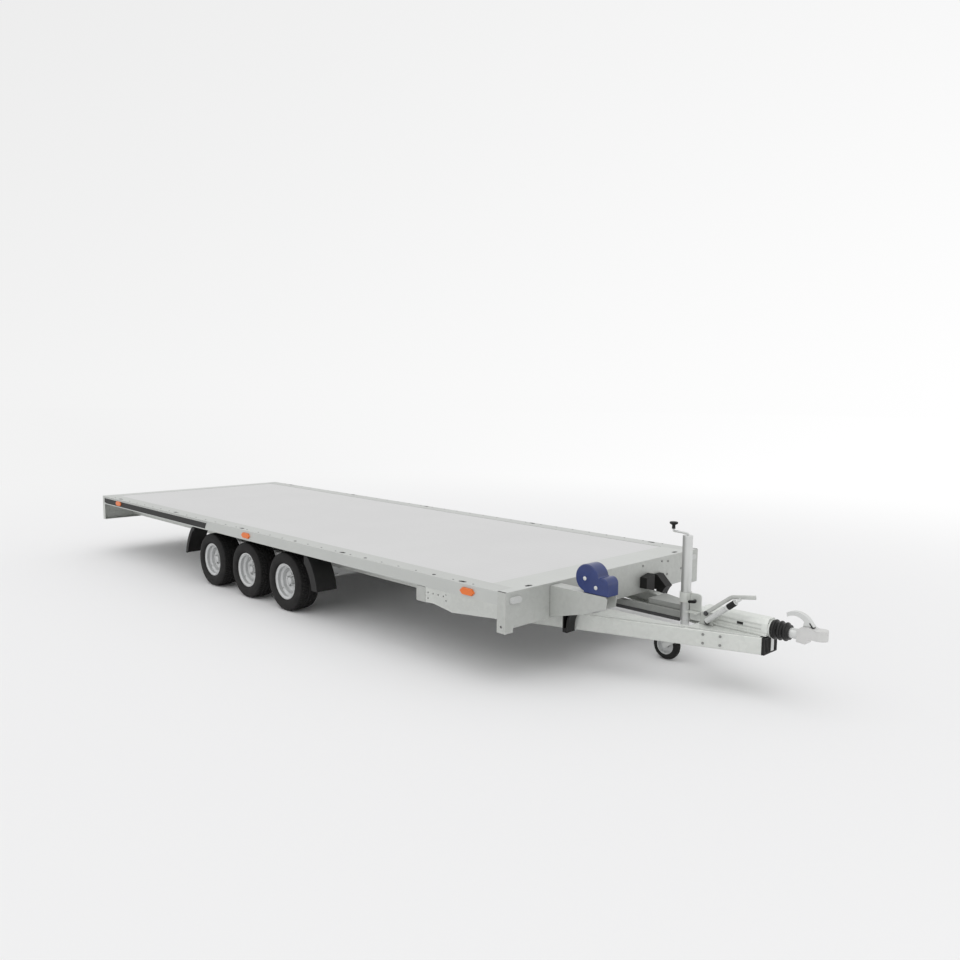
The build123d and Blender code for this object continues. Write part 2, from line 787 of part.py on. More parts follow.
# ------------------------------------------------------------------ winch arm
console_profile = [
    (deck_front, panel_bottom + 8),
    (deck_front, console_top),
    (deck_front + console_reach - 13, console_top),
    (deck_front + console_reach, console_top - 14),
    (deck_front + console_reach - 7, console_top - 73),
    (deck_front + 260, console_top - 137),
]
with BuildPart() as winch_console:
    with BuildSketch(Plane.XZ.offset(console_inner)):
        with BuildLine():
            Polyline(*console_profile, close=True)
        make_face()
    extrude(amount=console_outer - console_inner)
    fillet(winch_console.edges().filter_by(Axis.Y).sort_by(Axis.X)[-1], 12)
    # open underneath and at the front end
    with BuildSketch(Plane.XZ.offset(console_inner + console_wall)):
        with BuildLine():
            Polyline(
                (deck_front + 3 * console_wall, panel_bottom - 23),
                (deck_front + 3 * console_wall, console_top - console_wall),
                (deck_front + console_reach + 27, console_top - console_wall),
                (deck_front + console_reach + 27, console_top - 94),
                close=True,
            )
        make_face()
    extrude(amount=console_outer - console_inner - 2 * console_wall, mode=Mode.SUBTRACT)
finish(winch_console.part, "winch_console")

# ------------------------------------------------------------------ winch
def winch_outline(inset):
    # drum circle and gear circle run together in a hollow neck, on a foot along the arm
    with BuildSketch(Plane.XZ.offset(winch_inner)) as outline:
        with Locations((winch_x, winch_z)):
            Circle(winch_radius - inset)
        with Locations((pinion_x, pinion_z)):
            Circle(pinion_radius - inset)
        foot_rear = winch_x - winch_radius / 4 + inset
        foot_front = pinion_x + pinion_radius - inset
        with Locations(((foot_rear + foot_front) / 2, console_top + inset)):
            Rectangle(foot_front - foot_rear, pinion_z - console_top - inset, align=(Align.CENTER, Align.MIN))
        fillet(outline.vertices().sort_by(Axis.Y)[-1], neck_radius + inset)
    return outline.sketch


with BuildPart() as winch_cover:
    extrude(winch_outline(0), amount=winch_outer - winch_inner)
    chamfer(winch_cover.faces().sort_by(Axis.Y)[0].edges(), 5)
    extrude(winch_outline(cover_wall), amount=winch_outer - winch_inner - cover_wall, mode=Mode.SUBTRACT)
finish(winch_cover.part, "winch_cover")

with BuildPart() as winch_drum:
    with BuildSketch(Plane.XZ.offset(winch_inner + 4)):
        with Locations((winch_x, winch_z)):
            Circle(64)
    extrude(amount=6)
    with BuildSketch(Plane.XZ.offset(winch_inner + 10)):
        with Locations((winch_x, winch_z)):
            Circle(34)
    extrude(amount=winch_outer - winch_inner - 10 - cover_wall)
finish(winch_drum.part, "winch_drum")

# ------------------------------------------------------------------ wheel chocks
chock_inner = leg_outer_y(0) + chock_gap
chock_width = console_inner - chock_gap - chock_inner
chock_foot = leg_bottom - 1
chock_wall = 12.0
pocket_depth = 58.0


def chock_outline(inset):
    # wedge standing on its end: flat back, hollow tread side
    tread_top = (deck_front + 105 - 2 * inset, chock_foot + 142)
    tread_foot = (deck_front + 60 - inset, chock_foot + 3 * inset)
    with BuildLine() as wedge:
        Polyline(
            tread_foot,
            (deck_front + 24 + inset, chock_foot + 3 * inset),
            (deck_front + 24 + inset, chock_foot + 218 - 2 * inset),
            (deck_front + 28 + inset, chock_foot + 218 - 2 * inset),
            tread_top,
        )
        ThreePointArc(tread_top, (deck_front + 68 - inset, chock_foot + 83), tread_foot)
    make_face(wedge.edges())


with BuildPart() as wheel_chocks:
    for side in sides.values():
        with BuildSketch(Plane.XZ.offset(-side * chock_inner)):
            chock_outline(0)
            # the holder's bracket, bolted flat on the panel
            with Locations((deck_front, chock_foot + 218)):
                Rectangle(26, 109, align=(Align.MIN, Align.MAX))
        extrude(amount=-side * chock_width)
        # moulded hollow in the outer flank
        with BuildSketch(Plane.XZ.offset(-side * (chock_inner + chock_width))):
            chock_outline(9)
        extrude(amount=side * (chock_width - chock_wall), mode=Mode.SUBTRACT)
        # tapered stowage pocket beside it, above the drawbar's leg
        pocket_end, pocket_tip = side * (chock_inner - 75), side * (chock_inner - 172)
        with BuildSketch(Plane.YZ.offset(deck_front)):
            with BuildLine():
                Polyline(
                    (pocket_tip, leg_top + 40),
                    (pocket_tip, leg_top + 116),
                    (pocket_end, leg_top + 134),
                    (pocket_end, leg_top + 16),
                    close=True,
                )
            make_face()
        extrude(amount=pocket_depth, dir=(1, 0, 0))
finish(wheel_chocks.part, "wheel_chocks")

# ------------------------------------------------------------------ jockey
with BuildPart() as jockey_tube:
    with BuildSketch(Plane.XY.offset(jockey_tube_bottom)):
        with Locations((jockey_x, jockey_y)):
            Circle(jockey_tube_radius)
            Circle(jockey_tube_radius - jockey_tube_wall, mode=Mode.SUBTRACT)
    extrude(amount=jockey_tube_top - jockey_tube_bottom)
    with BuildSketch(Plane.XY.offset(jockey_tube_top - 8)):
        with Locations((jockey_x, jockey_y)):
            Circle(jockey_tube_radius)
    extrude(amount=8)
    fillet(jockey_tube.edges().sort_by(Axis.Z)[-1], 4)
finish(jockey_tube.part, "jockey_tube")

foot_rear, foot_front = jockey_x + jockey_tube_radius + 3, jockey_x + 118
web_bottom = leg_top - 55.0
with BuildPart() as jockey_bracket:
    with BuildSketch(Plane.XY.offset(leg_top)):
        with BuildLine():
            Polyline(
                (foot_rear, 90),
                (foot_front, 90),
                (foot_front, leg_outer_y(foot_front - deck_front) - 6),
                (foot_rear, leg_outer_y(foot_rear - deck_front) - 6),
                close=True,
            )
        make_face()
    extrude(amount=plate_thickness)
    with BuildSketch(Plane.XZ.offset(-jockey_y - bracket_thickness / 2)):
        with BuildLine():
            Polyline((foot_rear, web_bottom), (foot_front, web_bottom), (foot_front, clamp_top - 22))
            RadiusArc((foot_front, clamp_top - 22), (foot_front - 22, clamp_top), -22)
            Polyline(
                (foot_front - 22, clamp_top),
                (jockey_x + jockey_tube_radius, clamp_top),
                (jockey_x + jockey_tube_radius, clamp_bottom),
                (foot_rear, clamp_bottom - 12),
                (foot_rear, web_bottom),
            )
        make_face()
    extrude(amount=bracket_thickness)
    with BuildSketch(Plane.XY.offset(clamp_bottom)):
        with Locations((jockey_x, jockey_y)):
            Circle(jockey_tube_radius + clamp_wall)
            Circle(jockey_tube_radius, mode=Mode.SUBTRACT)
    extrude(amount=clamp_height)
finish(jockey_bracket.part, "jockey_bracket")

with BuildPart() as jockey_clamp:
    # threaded pin with a cross handle on the bracket's right face
    pin_length = 30.0
    with BuildSketch(Plane.XZ.offset(bracket_thickness / 2 - jockey_y)):
        with Locations((clamp_pin_x, clamp_pin_z)):
            Circle(9)
    extrude(amount=pin_length)
    with BuildSketch(Plane.XZ.offset(bracket_thickness / 2 + pin_length - jockey_y)):
        with Locations((clamp_pin_x, clamp_pin_z)):
            SlotOverall(56, 18, rotation=8)
    extrude(amount=14)
finish(jockey_clamp.part, "jockey_clamp")

with BuildPart() as jockey_crank:
    with BuildLine():
        FilletPolyline(
            (jockey_x, jockey_y, jockey_tube_top),
            (jockey_x, jockey_y, jockey_tube_top + 12),
            (knob_x, jockey_y, jockey_tube_top + 15),
            (knob_x, jockey_y, knob_bottom),
            radius=8,
        )
    with BuildSketch(Plane.XY.offset(jockey_tube_top)):
        with Locations((jockey_x, jockey_y)):
            Circle(crank_radius)
    sweep()
finish(jockey_crank.part, "jockey_crank")

with BuildPart() as jockey_knob:
    with BuildSketch(Plane.XZ.offset(-jockey_y)):
        with BuildLine():
            Polyline(
                (knob_x, knob_bottom),
                (knob_x + 12, knob_bottom),
                (knob_x + 11, knob_bottom + 24),
                (knob_x + 25, knob_bottom + 32),
            )
            ThreePointArc(
                (knob_x + 25, knob_bottom + 32),
                (knob_x + 28, knob_bottom + 39),
                (knob_x + 24, knob_bottom + 46),
            )
            Polyline((knob_x + 24, knob_bottom + 46), (knob_x, knob_bottom + 48), (knob_x, knob_bottom))
        make_face()
    revolve(axis=Axis((knob_x, jockey_y, 0), (0, 0, 1)), revolution_arc=360)
finish(jockey_knob.part, "jockey_knob")

with BuildPart() as jockey_inner:
    with BuildSketch(Plane.XY.offset(fork_top)):
        with Locations((jockey_x, jockey_y)):
            Circle(jockey_inner_radius)
            Circle(jockey_inner_radius - jockey_inner_wall, mode=Mode.SUBTRACT)
    extrude(amount=jockey_inner_length)
finish(jockey_inner.part, "jockey_inner")

with BuildPart() as jockey_fork:
    crown = fork_top - running_gap
    for side in sides.values():
        with BuildSketch(Plane.XZ.offset(-jockey_y - side * (fork_inner + fork_plate / 2) - fork_plate / 2)):
            with BuildLine():
                Polyline(
                    (jockey_wheel_x + 14, jockey_wheel_radius - 10),
                    (jockey_x + 30, crown - 44),
                    (jockey_x + 30, crown),
                    (jockey_x - 34, crown),
                    (jockey_wheel_x - 14, jockey_wheel_radius + 10),
                )
                ThreePointArc(
                    (jockey_wheel_x - 14, jockey_wheel_radius + 10),
                    (jockey_wheel_x - 10, jockey_wheel_radius - 13),
                    (jockey_wheel_x + 14, jockey_wheel_radius - 10),
                )
            make_face()
        extrude(amount=fork_plate)
    with BuildSketch(Plane.XY.offset(crown)):
        with Locations((jockey_x - 2, jockey_y)):
            Rectangle(64, 2 * (fork_inner + fork_plate))
    extrude(amount=-6)
    with BuildSketch(Plane.XY.offset(crown)):
        with Locations((jockey_x, jockey_y)):
            Circle(jockey_inner_radius - jockey_inner_wall - running_gap)
    extrude(amount=40)
finish(jockey_fork.part, "jockey_fork")

with BuildPart() as jockey_rim:
    with BuildSketch(Plane.XY.offset(jockey_wheel_radius)):
        with BuildLine():
            half = jockey_wheel_width / 2
            Polyline(
                (jockey_wheel_x, jockey_y - half - 3.6),
                (jockey_wheel_x + 14, jockey_y - half - 3.6),
                (jockey_wheel_x + 22, jockey_y - half + 2),
                (jockey_wheel_x + 24, jockey_y - 7),
                (jockey_wheel_x + 54, jockey_y - 5),
                (jockey_wheel_x + 57, jockey_y - half),
                (jockey_wheel_x + jockey_rim_radius, jockey_y - half),
                (jockey_wheel_x + jockey_rim_radius, jockey_y),
                (jockey_wheel_x, jockey_y),
                close=True,
            )
        make_face()
        mirror(about=Plane.XZ.offset(-jockey_y))
    revolve(axis=Axis((jockey_wheel_x, 0, jockey_wheel_radius), (0, 1, 0)), revolution_arc=360)
finish(jockey_rim.part, "jockey_rim")

with BuildPart() as jockey_tyre:
    with BuildSketch(Plane.XY.offset(jockey_wheel_radius)):
        with BuildLine():
            Polyline(
                (jockey_wheel_x + 80, jockey_y - half),
                (jockey_wheel_x + jockey_rim_radius, jockey_y - half),
                (jockey_wheel_x + jockey_rim_radius, jockey_y + half),
                (jockey_wheel_x + 80, jockey_y + half),
            )
            ThreePointArc(
                (jockey_wheel_x + 80, jockey_y + half),
                (jockey_wheel_x + jockey_wheel_radius, jockey_y),
                (jockey_wheel_x + 80, jockey_y - half),
            )
        make_face()
    revolve(axis=Axis((jockey_wheel_x, 0, jockey_wheel_radius), (0, 1, 0)), revolution_arc=360)
finish(jockey_tyre.part, "jockey_tyre")


# ------------------------------------------------------------------ road wheels
def tyre_ring(x, side):
    # half section drawn beside the hub's height: X is the radius, Y the place across the wheel
    def at(radius, across):
        return (x + radius, side * (wheel_y + across))

    bulge = tyre_width / 2
    shoulder = tyre_radius - 14
    bulge_radius = (rim_flange_radius + shoulder) / 2
    with BuildPart() as ring:
        with BuildSketch(Plane.XY.offset(tyre_radius)):
            with BuildLine():
                Line(at(bead_radius, 74), at(bead_radius, -74))
                Line(at(bead_radius, -74), at(rim_flange_radius, -76))
                ThreePointArc(at(rim_flange_radius, -76), at(bulge_radius, -bulge), at(shoulder, -88))
                ThreePointArc(at(shoulder, -88), at(tyre_radius - 5, -82), at(tyre_radius - tyre_crown, -73))
                ThreePointArc(
                    at(tyre_radius - tyre_crown, -73),
                    at(tyre_radius, 0),
                    at(tyre_radius - tyre_crown, 73),
                )
                ThreePointArc(at(tyre_radius - tyre_crown, 73), at(tyre_radius - 5, 82), at(shoulder, 88))
                ThreePointArc(at(shoulder, 88), at(bulge_radius, bulge), at(rim_flange_radius, 76))
                Line(at(rim_flange_radius, 76), at(bead_radius, 74))
            make_face()
        revolve(axis=Axis((x, 0, tyre_radius), (0, 1, 0)), revolution_arc=360)
    return ring.part


def wheel_rim(x, side):
    # outboard half is the deep dish that shows; the dished disc carries the stud holes
    def at(radius, across):
        return (x + radius, side * (wheel_y + across))

    with BuildPart() as rim:
        with BuildSketch(Plane.XY.offset(tyre_radius)):
            with BuildLine():
                Polyline(
                    at(rim_flange_radius, -rim_half_width),
                    at(rim_flange_radius, -76),
                    at(bead_radius, -74),
                    at(bead_radius, 74),
                    at(rim_flange_radius, 76),
                    at(rim_flange_radius, rim_half_width),
                    at(rim_flange_radius - 8, rim_half_width + 1),
                    at(bead_radius - rim_wall, 72),
                    at(bead_radius - rim_wall, 46),
                    at(drop_radius, 34),
                    at(drop_radius - rim_wall, disc_thickness + 4),
                    at(80, disc_thickness + rim_dish),
                    at(centre_bore_radius + 8, disc_thickness + 2),
                    at(centre_bore_radius, disc_thickness + 2),
                    at(centre_bore_radius, 2),
                    at(80, rim_dish),
                    at(drop_radius, 0),
                    at(bead_radius - rim_wall, -14),
                    at(bead_radius - rim_wall, -78),
                    close=True,
                )
            make_face()
        revolve(axis=Axis((x, 0, tyre_radius), (0, 1, 0)), revolution_arc=360)
        with BuildSketch(Plane.XZ.offset(-side * (wheel_y - 4))):
            with Locations((x, tyre_radius)):
                with PolarLocations(stud_circle_radius, stud_count, start_angle=90):
                    Circle(stud_hole_radius)
        extrude(amount=-side * 34, mode=Mode.SUBTRACT)
    return rim.part


# ------------------------------------------------------------------ axles
def swing_arm_profile(x):
    # tapered trailing arm from the axle tube's inner bar to the spindle
    tube_x = x + axle_lead
    root_radius = arm_end_radius + 4
    with BuildLine() as arm:
        Line((tube_x + 4, axle_z - root_radius), (x + 4, tyre_radius - arm_end_radius))
        ThreePointArc(
            (x + 4, tyre_radius - arm_end_radius),
            (x - arm_end_radius, tyre_radius),
            (x - 4, tyre_radius + arm_end_radius),
        )
        Line((x - 4, tyre_radius + arm_end_radius), (tube_x - 4, axle_z + root_radius))
        ThreePointArc(
            (tube_x - 4, axle_z + root_radius),
            (tube_x + root_radius, axle_z),
            (tube_x + 4, axle_z - root_radius),
        )
    make_face(arm.edges())


def axle(x):
    # one rigid piece: square tube, chassis seats, trailing arms, spindles, back plates and drums
    tube_x = x + axle_lead
    with BuildPart() as beam:
        with BuildSketch(Plane.XZ.offset(-arm_inner)):
            with Locations((tube_x, axle_z)):
                RectangleRounded(axle_tube, axle_tube, 8)
        extrude(amount=2 * arm_inner)
        for side in sides.values():
            with BuildSketch(Plane.XY.offset(axle_z)):
                with Locations((tube_x, side * beam_y)):
                    Rectangle(axle_seat_length, beam_width)
            extrude(amount=beam_bottom - axle_z)
            with BuildSketch(Plane.XZ.offset(-side * arm_inner)):
                swing_arm_profile(x)
            extrude(amount=-side * arm_thickness)
            with BuildSketch(Plane.XZ.offset(-side * (arm_inner + arm_thickness))):
                with Locations((x, tyre_radius)):
                    Circle(drum_radius + back_plate)
            extrude(amount=-side * back_plate)
            with BuildSketch(Plane.XZ.offset(-side * drum_inner)):
                with Locations((x, tyre_radius)):
                    Circle(drum_radius)
            extrude(amount=-side * (hub_end - drum_inner))
            with BuildSketch(Plane.XZ.offset(-side * hub_end)):
                with Locations((x, tyre_radius)):
                    Circle(centre_bore_radius - 3)
            extrude(amount=-side * hub_nose)
    return beam.part


for axle_name, axle_x in axle_positions.items():
    finish(axle(axle_x), f"axle_{axle_name}")
    for side_name, side in sides.items():
        finish(tyre_ring(axle_x, side), f"tyre_{axle_name}_{side_name}")
        finish(wheel_rim(axle_x, side), f"rim_{axle_name}_{side_name}")


# ------------------------------------------------------------------ mudguards
def guard_flap(x, sense):
    # round a corner and down a flared flap, beyond the end wheel at x
    start = (x + sense * guard_level, guard_top)
    corner = JernArc(start=start, tangent=(sense, 0), radius=guard_corner_radius, arc_size=-sense * 50)
    foot = (x + sense * guard_flap_reach, guard_flap_bottom)
    TangentArc(corner @ 1, foot, tangent=corner % 1)


def guard_line():
    # flaps joined by a level sheet over all three wheels
    guard_flap(axle_positions["rear"], -1)
    Line(
        (axle_positions["rear"] - guard_level, guard_top),
        (axle_positions["front"] + guard_level, guard_top),
    )
    guard_flap(axle_positions["front"], 1)


def guard_lip_sketch(plane):
    # the part of a broad band along each flap that lies on the wheels' side of it
    rear_foot = (axle_positions["rear"] - guard_flap_reach, guard_flap_bottom)
    front_foot = (axle_positions["front"] + guard_flap_reach, guard_flap_bottom)
    with BuildSketch(plane) as lip:
        with BuildLine() as rear_flap:
            guard_flap(axle_positions["rear"], -1)
        trace(rear_flap.edges(), line_width=2 * guard_rear_lip)
        with BuildLine() as front_flap:
            guard_flap(axle_positions["front"], 1)
        trace(front_flap.edges(), line_width=2 * guard_front_lip)
        with BuildLine() as below:
            guard_line()
            Line(rear_foot, front_foot)
        make_face(below.edges(), mode=Mode.INTERSECT)
    return lip.sketch


def mudguard(side):
    with BuildPart() as guard:
        with BuildSketch(Plane.XZ.offset(-side * guard_inner)):
            with BuildLine():
                guard_line()
            trace(line_width=guard_wall)
        extrude(amount=-side * (guard_outer - guard_inner))
        lip = guard_lip_sketch(Plane.XZ.offset(-side * (guard_outer - guard_wall)))
        extrude(lip, amount=-side * guard_wall)
    return guard.part


for side_name, side in sides.items():
    finish(mudguard(side), f"mudguard_{side_name}")


# ------------------------------------------------------------------ lamps
def marker_lamp(side, x, z, proud):
    tip = marker_length / 2
    shoulder = tip - 24
    edge = marker_height / 2
    with BuildSketch(outward(side, half_width + proud, x, z)) as lens:
        with BuildLine():
            Polyline(
                (-tip, 0),
                (-shoulder, edge),
                (shoulder, edge),
                (tip, 0),
                (shoulder, -edge),
                (-shoulder, -edge),
                close=True,
            )
        make_face()
    extrude(lens.sketch, amount=marker_depth - proud, taper=12)


with BuildPart() as side_lamps:
    for side in sides.values():
        marker_lamp(side, deck_front - 325, deck_height - marker_drop - 2, 0)
        marker_lamp(side, deck_front - 3010, deck_height - marker_drop, 0)
        marker_lamp(side, deck_rear + 433, deck_height - marker_drop, strip_thickness)
finish(side_lamps.part, "side_lamps")

with BuildPart() as front_lamps:
    with BuildSketch(Plane.YZ.offset(deck_front)):
        with Locations((0, deck_height - front_lamp_drop)):
            with GridLocations(2 * front_lamp_y, 1, 2, 1):
                RectangleRounded(100, 44, 20)
    extrude(amount=14, taper=15)
finish(front_lamps.part, "front_lamps")

with BuildPart() as rear_lamps:
    with BuildSketch(Plane.YZ.offset(rear_face)):
        with Locations((rear_lamp_y, rear_lamp_z), (-rear_lamp_y, rear_lamp_z)):
            RectangleRounded(rear_lamp_width, rear_lamp_height, 10)
    extrude(amount=-lamp_proud)
finish(rear_lamps.part, "rear_lamps")
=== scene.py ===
import json
import math

import bmesh
import bpy
from mathutils import Matrix, Vector


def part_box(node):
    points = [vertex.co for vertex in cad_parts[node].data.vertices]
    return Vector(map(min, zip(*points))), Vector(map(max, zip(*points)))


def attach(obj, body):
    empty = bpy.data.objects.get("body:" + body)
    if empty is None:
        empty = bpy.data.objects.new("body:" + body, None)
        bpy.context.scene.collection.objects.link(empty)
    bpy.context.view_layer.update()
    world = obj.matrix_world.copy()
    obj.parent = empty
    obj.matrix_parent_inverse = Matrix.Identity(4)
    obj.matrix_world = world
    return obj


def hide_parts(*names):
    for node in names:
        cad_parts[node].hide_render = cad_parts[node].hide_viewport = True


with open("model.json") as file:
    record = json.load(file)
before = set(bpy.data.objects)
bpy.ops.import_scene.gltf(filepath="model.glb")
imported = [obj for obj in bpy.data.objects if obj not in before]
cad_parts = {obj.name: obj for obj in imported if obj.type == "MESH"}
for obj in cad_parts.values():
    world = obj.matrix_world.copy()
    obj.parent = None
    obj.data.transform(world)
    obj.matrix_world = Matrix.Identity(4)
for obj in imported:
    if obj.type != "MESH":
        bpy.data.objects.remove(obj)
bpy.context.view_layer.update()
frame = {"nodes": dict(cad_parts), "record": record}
nodes = frame["nodes"]
print("frame loaded:", len(nodes), "pieces")


# small helpers for shader trees

def place(tree, kind, column, row, inputs=None, **settings):
    # kind has no prefix; each input is a value, or a (node, output) pair to link from
    node = tree.nodes.new(kind if kind.startswith("NodeGroup") else f"ShaderNode{kind}")
    node.location = (column * 210, -row * 190)
    for name, value in settings.items():
        setattr(node, name, value)
    for socket, value in (inputs or {}).items():
        if isinstance(value, tuple) and isinstance(value[0], bpy.types.Node):
            wire(tree, *value, node, socket)
        else:
            node.inputs[socket].default_value = value
    return node


def wire(tree, source, output, target, socket):
    tree.links.new(source.outputs[output], target.inputs[socket])


def emptyTree(owner):
    owner.use_nodes = True
    owner.node_tree.nodes.clear()
    return owner.node_tree


def newGroup(name, inputs, outputs):
    # inputs are (name, kind, default), outputs (name, kind)
    group = bpy.data.node_groups.new(name, "ShaderNodeTree")
    for title, kind, value in inputs:
        socket = group.interface.new_socket(title, in_out="INPUT", socket_type=f"NodeSocket{kind}")
        socket.default_value = value
    for title, kind in outputs:
        group.interface.new_socket(title, in_out="OUTPUT", socket_type=f"NodeSocket{kind}")
    return group, place(group, "NodeGroupInput", -5, 0)


def endGroup(group, outputs):
    place(group, "NodeGroupOutput", 5, 0, outputs)
    return group


def useGroup(tree, group, column, row, inputs):
    return place(tree, "Group", column, row, inputs, node_tree=group)


def rangeNode(tree, column, row, source, low, high, toLow, toHigh, smooth=True):
    kind = "SMOOTHSTEP" if smooth else "LINEAR"
    inputs = {"Value": source, "From Min": low, "From Max": high, "To Min": toLow, "To Max": toHigh}
    return place(tree, "MapRange", column, row, inputs, interpolation_type=kind)


def mathNode(tree, column, row, operation, *inputs):
    return place(tree, "Math", column, row, dict(enumerate(inputs)), operation=operation)


def vectorNode(tree, column, row, operation, *inputs):
    return place(tree, "VectorMath", column, row, dict(enumerate(inputs)), operation=operation)


# socket numbers of a colour Mix node
mixFactor, mixFirst, mixSecond, mixResult = 0, 6, 7, 2


def mixColor(tree, column, row, factor, first, second, blend="MIX"):
    inputs = {mixFactor: factor, mixFirst: first, mixSecond: second}
    return place(tree, "Mix", column, row, inputs, data_type="RGBA", blend_type=blend)


# effects that several materials share

effects = {
    "patchDetail": 5,
    "patchRoughness": 0.6,
    "patchRange": (0.3, 0.7),
    "speckScale": 22,
    "speckDetail": 8,
    "speckRange": (0.35, 0.7),
    "thinnestDust": 0.25,
    "bevelSamples": 4,
    "edgeRange": (0.7, 0.99),
    "creviceSamples": 6,
    "creviceRange": (0.2, 0.85),
    "creviceColor": (0.06, 0.06, 0.06, 1),
}


def makeWeatherGroup():
    # patchy tone, and road dust that gathers near the ground
    group, start = newGroup("weatheredTone", [
        ("Color", "Color", (0.5, 0.5, 0.5, 1)),
        ("Patch Scale", "Float", 3.0),
        ("Patch Strength", "Float", 0.06),
        ("Dust Color", "Color", (0.34, 0.31, 0.27, 1)),
        ("Dust Height", "Float", 0.35),
        ("Dust Strength", "Float", 0.2),
    ], [("Color", "Color"), ("Dust", "Float")])
    where = place(group, "TexCoord", -4, 1)
    patches = place(group, "TexNoise", -3, 0, {
        "Vector": (where, "Object"),
        "Scale": (start, "Patch Scale"),
        "Detail": effects["patchDetail"],
        "Roughness": effects["patchRoughness"],
    })
    signed = rangeNode(group, -2, 0, (patches, "Fac"), *effects["patchRange"], -1, 1)
    swing = mathNode(group, -1, 0, "MULTIPLY", (signed, "Result"), (start, "Patch Strength"))
    lift = mathNode(group, 0, 0, "ADD", (swing, 0), 1.0)
    toned = mixColor(group, 1, 0, 1, (start, "Color"), (lift, 0), "MULTIPLY")
    parts = place(group, "SeparateXYZ", -3, 2, {0: (where, "Object")})
    falling = rangeNode(group, -2, 2, (parts, "Z"), 0, (start, "Dust Height"), 1, 0, smooth=False)
    specks = place(group, "TexNoise", -3, 3, {
        "Vector": (where, "Object"),
        "Scale": effects["speckScale"],
        "Detail": effects["speckDetail"],
    })
    broken = rangeNode(group, -2, 3, (specks, "Fac"), *effects["speckRange"],
                       effects["thinnestDust"], 1)
    dust = mathNode(group, -1, 2, "MULTIPLY", (falling, "Result"), (broken, "Result"))
    amount = mathNode(group, 0, 2, "MULTIPLY", (dust, 0), (start, "Dust Strength"))
    dusty = mixColor(group, 2, 0, (amount, 0), (toned, mixResult), (start, "Dust Color"))
    return endGroup(group, {"Color": (dusty, mixResult), "Dust": (amount, 0)})


def makeEdgeGroup():
    # rounds the shading of sharp edges and marks them, for worn or bright edges
    group, start = newGroup("softenedEdges", [("Radius", "Float", 0.002)],
                            [("Normal", "Vector"), ("Edge", "Float")])
    rounded = place(group, "Bevel", -3, 0, {"Radius": (start, "Radius")},
                    samples=effects["bevelSamples"])
    flat = place(group, "NewGeometry", -3, 1)
    dot = vectorNode(group, -2, 0, "DOT_PRODUCT", (rounded, "Normal"), (flat, "Normal"))
    edge = rangeNode(group, -1, 0, (dot, "Value"), *effects["edgeRange"], 1, 0)
    return endGroup(group, {"Normal": (rounded, "Normal"), "Edge": (edge, "Result")})


def makeCreviceGroup():
    # darker tone where two surfaces meet closely
    group, start = newGroup("creviceShade", [
        ("Color", "Color", (0.5, 0.5, 0.5, 1)),
        ("Distance", "Float", 0.02),
        ("Strength", "Float", 0.4),
    ], [("Color", "Color")])
    closeness = place(group, "AmbientOcclusion", -2, 0,
                      {"Distance": (start, "Distance")}, samples=effects["creviceSamples"])
    depth = rangeNode(group, -1, 0, (closeness, "AO"), *effects["creviceRange"], 1, 0)
    amount = mathNode(group, 0, 0, "MULTIPLY", (depth, "Result"), (start, "Strength"))
    shaded = mixColor(group, 1, 0, (amount, 0), (start, "Color"), effects["creviceColor"])
    return endGroup(group, {"Color": (shaded, mixResult)})


def makeGrainGroup():
    # fine relief: moulded grain, cast skin, rolled metal or rubber
    group, start = newGroup("surfaceGrain", [
        ("Stretch", "Vector", (1, 1, 1)),
        ("Scale", "Float", 200.0),
        ("Detail", "Float", 4.0),
        ("Strength", "Float", 0.1),
        ("Distance", "Float", 0.001),
        ("Normal", "Vector", (0, 0, 0)),
    ], [("Normal", "Vector"), ("Height", "Float")])
    where = place(group, "TexCoord", -4, 1)
    stretched = vectorNode(group, -3, 0, "MULTIPLY", (where, "Object"), (start, "Stretch"))
    grain = place(group, "TexNoise", -2, 0, {
        "Vector": (stretched, 0),
        "Scale": (start, "Scale"),
        "Detail": (start, "Detail"),
    })
    relief = place(group, "Bump", 0, 0, {
        "Strength": (start, "Strength"),
        "Distance": (start, "Distance"),
        "Height": (grain, "Fac"),
        "Normal": (start, "Normal"),
    })
    return endGroup(group, {"Normal": (relief, "Normal"), "Height": (grain, "Fac")})


def makeSpangleGroup():
    # the crystal flakes of hot-dip zinc
    group, start = newGroup("zincSpangle", [
        ("Color", "Color", (0.6, 0.6, 0.6, 1)),
        ("Scale", "Float", 60.0),
        ("Contrast", "Float", 0.08),
    ], [("Color", "Color")])
    where = place(group, "TexCoord", -4, 0)
    flakes = place(group, "TexVoronoi", -3, 0, {
        "Vector": (where, "Object"),
        "Scale": (start, "Scale"),
        "Randomness": 1,
    })
    tint = place(group, "SeparateColor", -2, 0, {0: (flakes, "Color")})
    centred = mathNode(group, -1, 0, "SUBTRACT", (tint, 0), 0.5)
    scaled = mathNode(group, 0, 0, "MULTIPLY", (centred, 0), (start, "Contrast"))
    lift = mathNode(group, 1, 0, "ADD", (scaled, 0), 1.0)
    toned = mixColor(group, 2, 0, 1, (start, "Color"), (lift, 0), "MULTIPLY")
    return endGroup(group, {"Color": (toned, mixResult)})


weatherGroup = makeWeatherGroup()
edgeGroup = makeEdgeGroup()
creviceGroup = makeCreviceGroup()
grainGroup = makeGrainGroup()
spangleGroup = makeSpangleGroup()
print("shared effects ready")


# materials

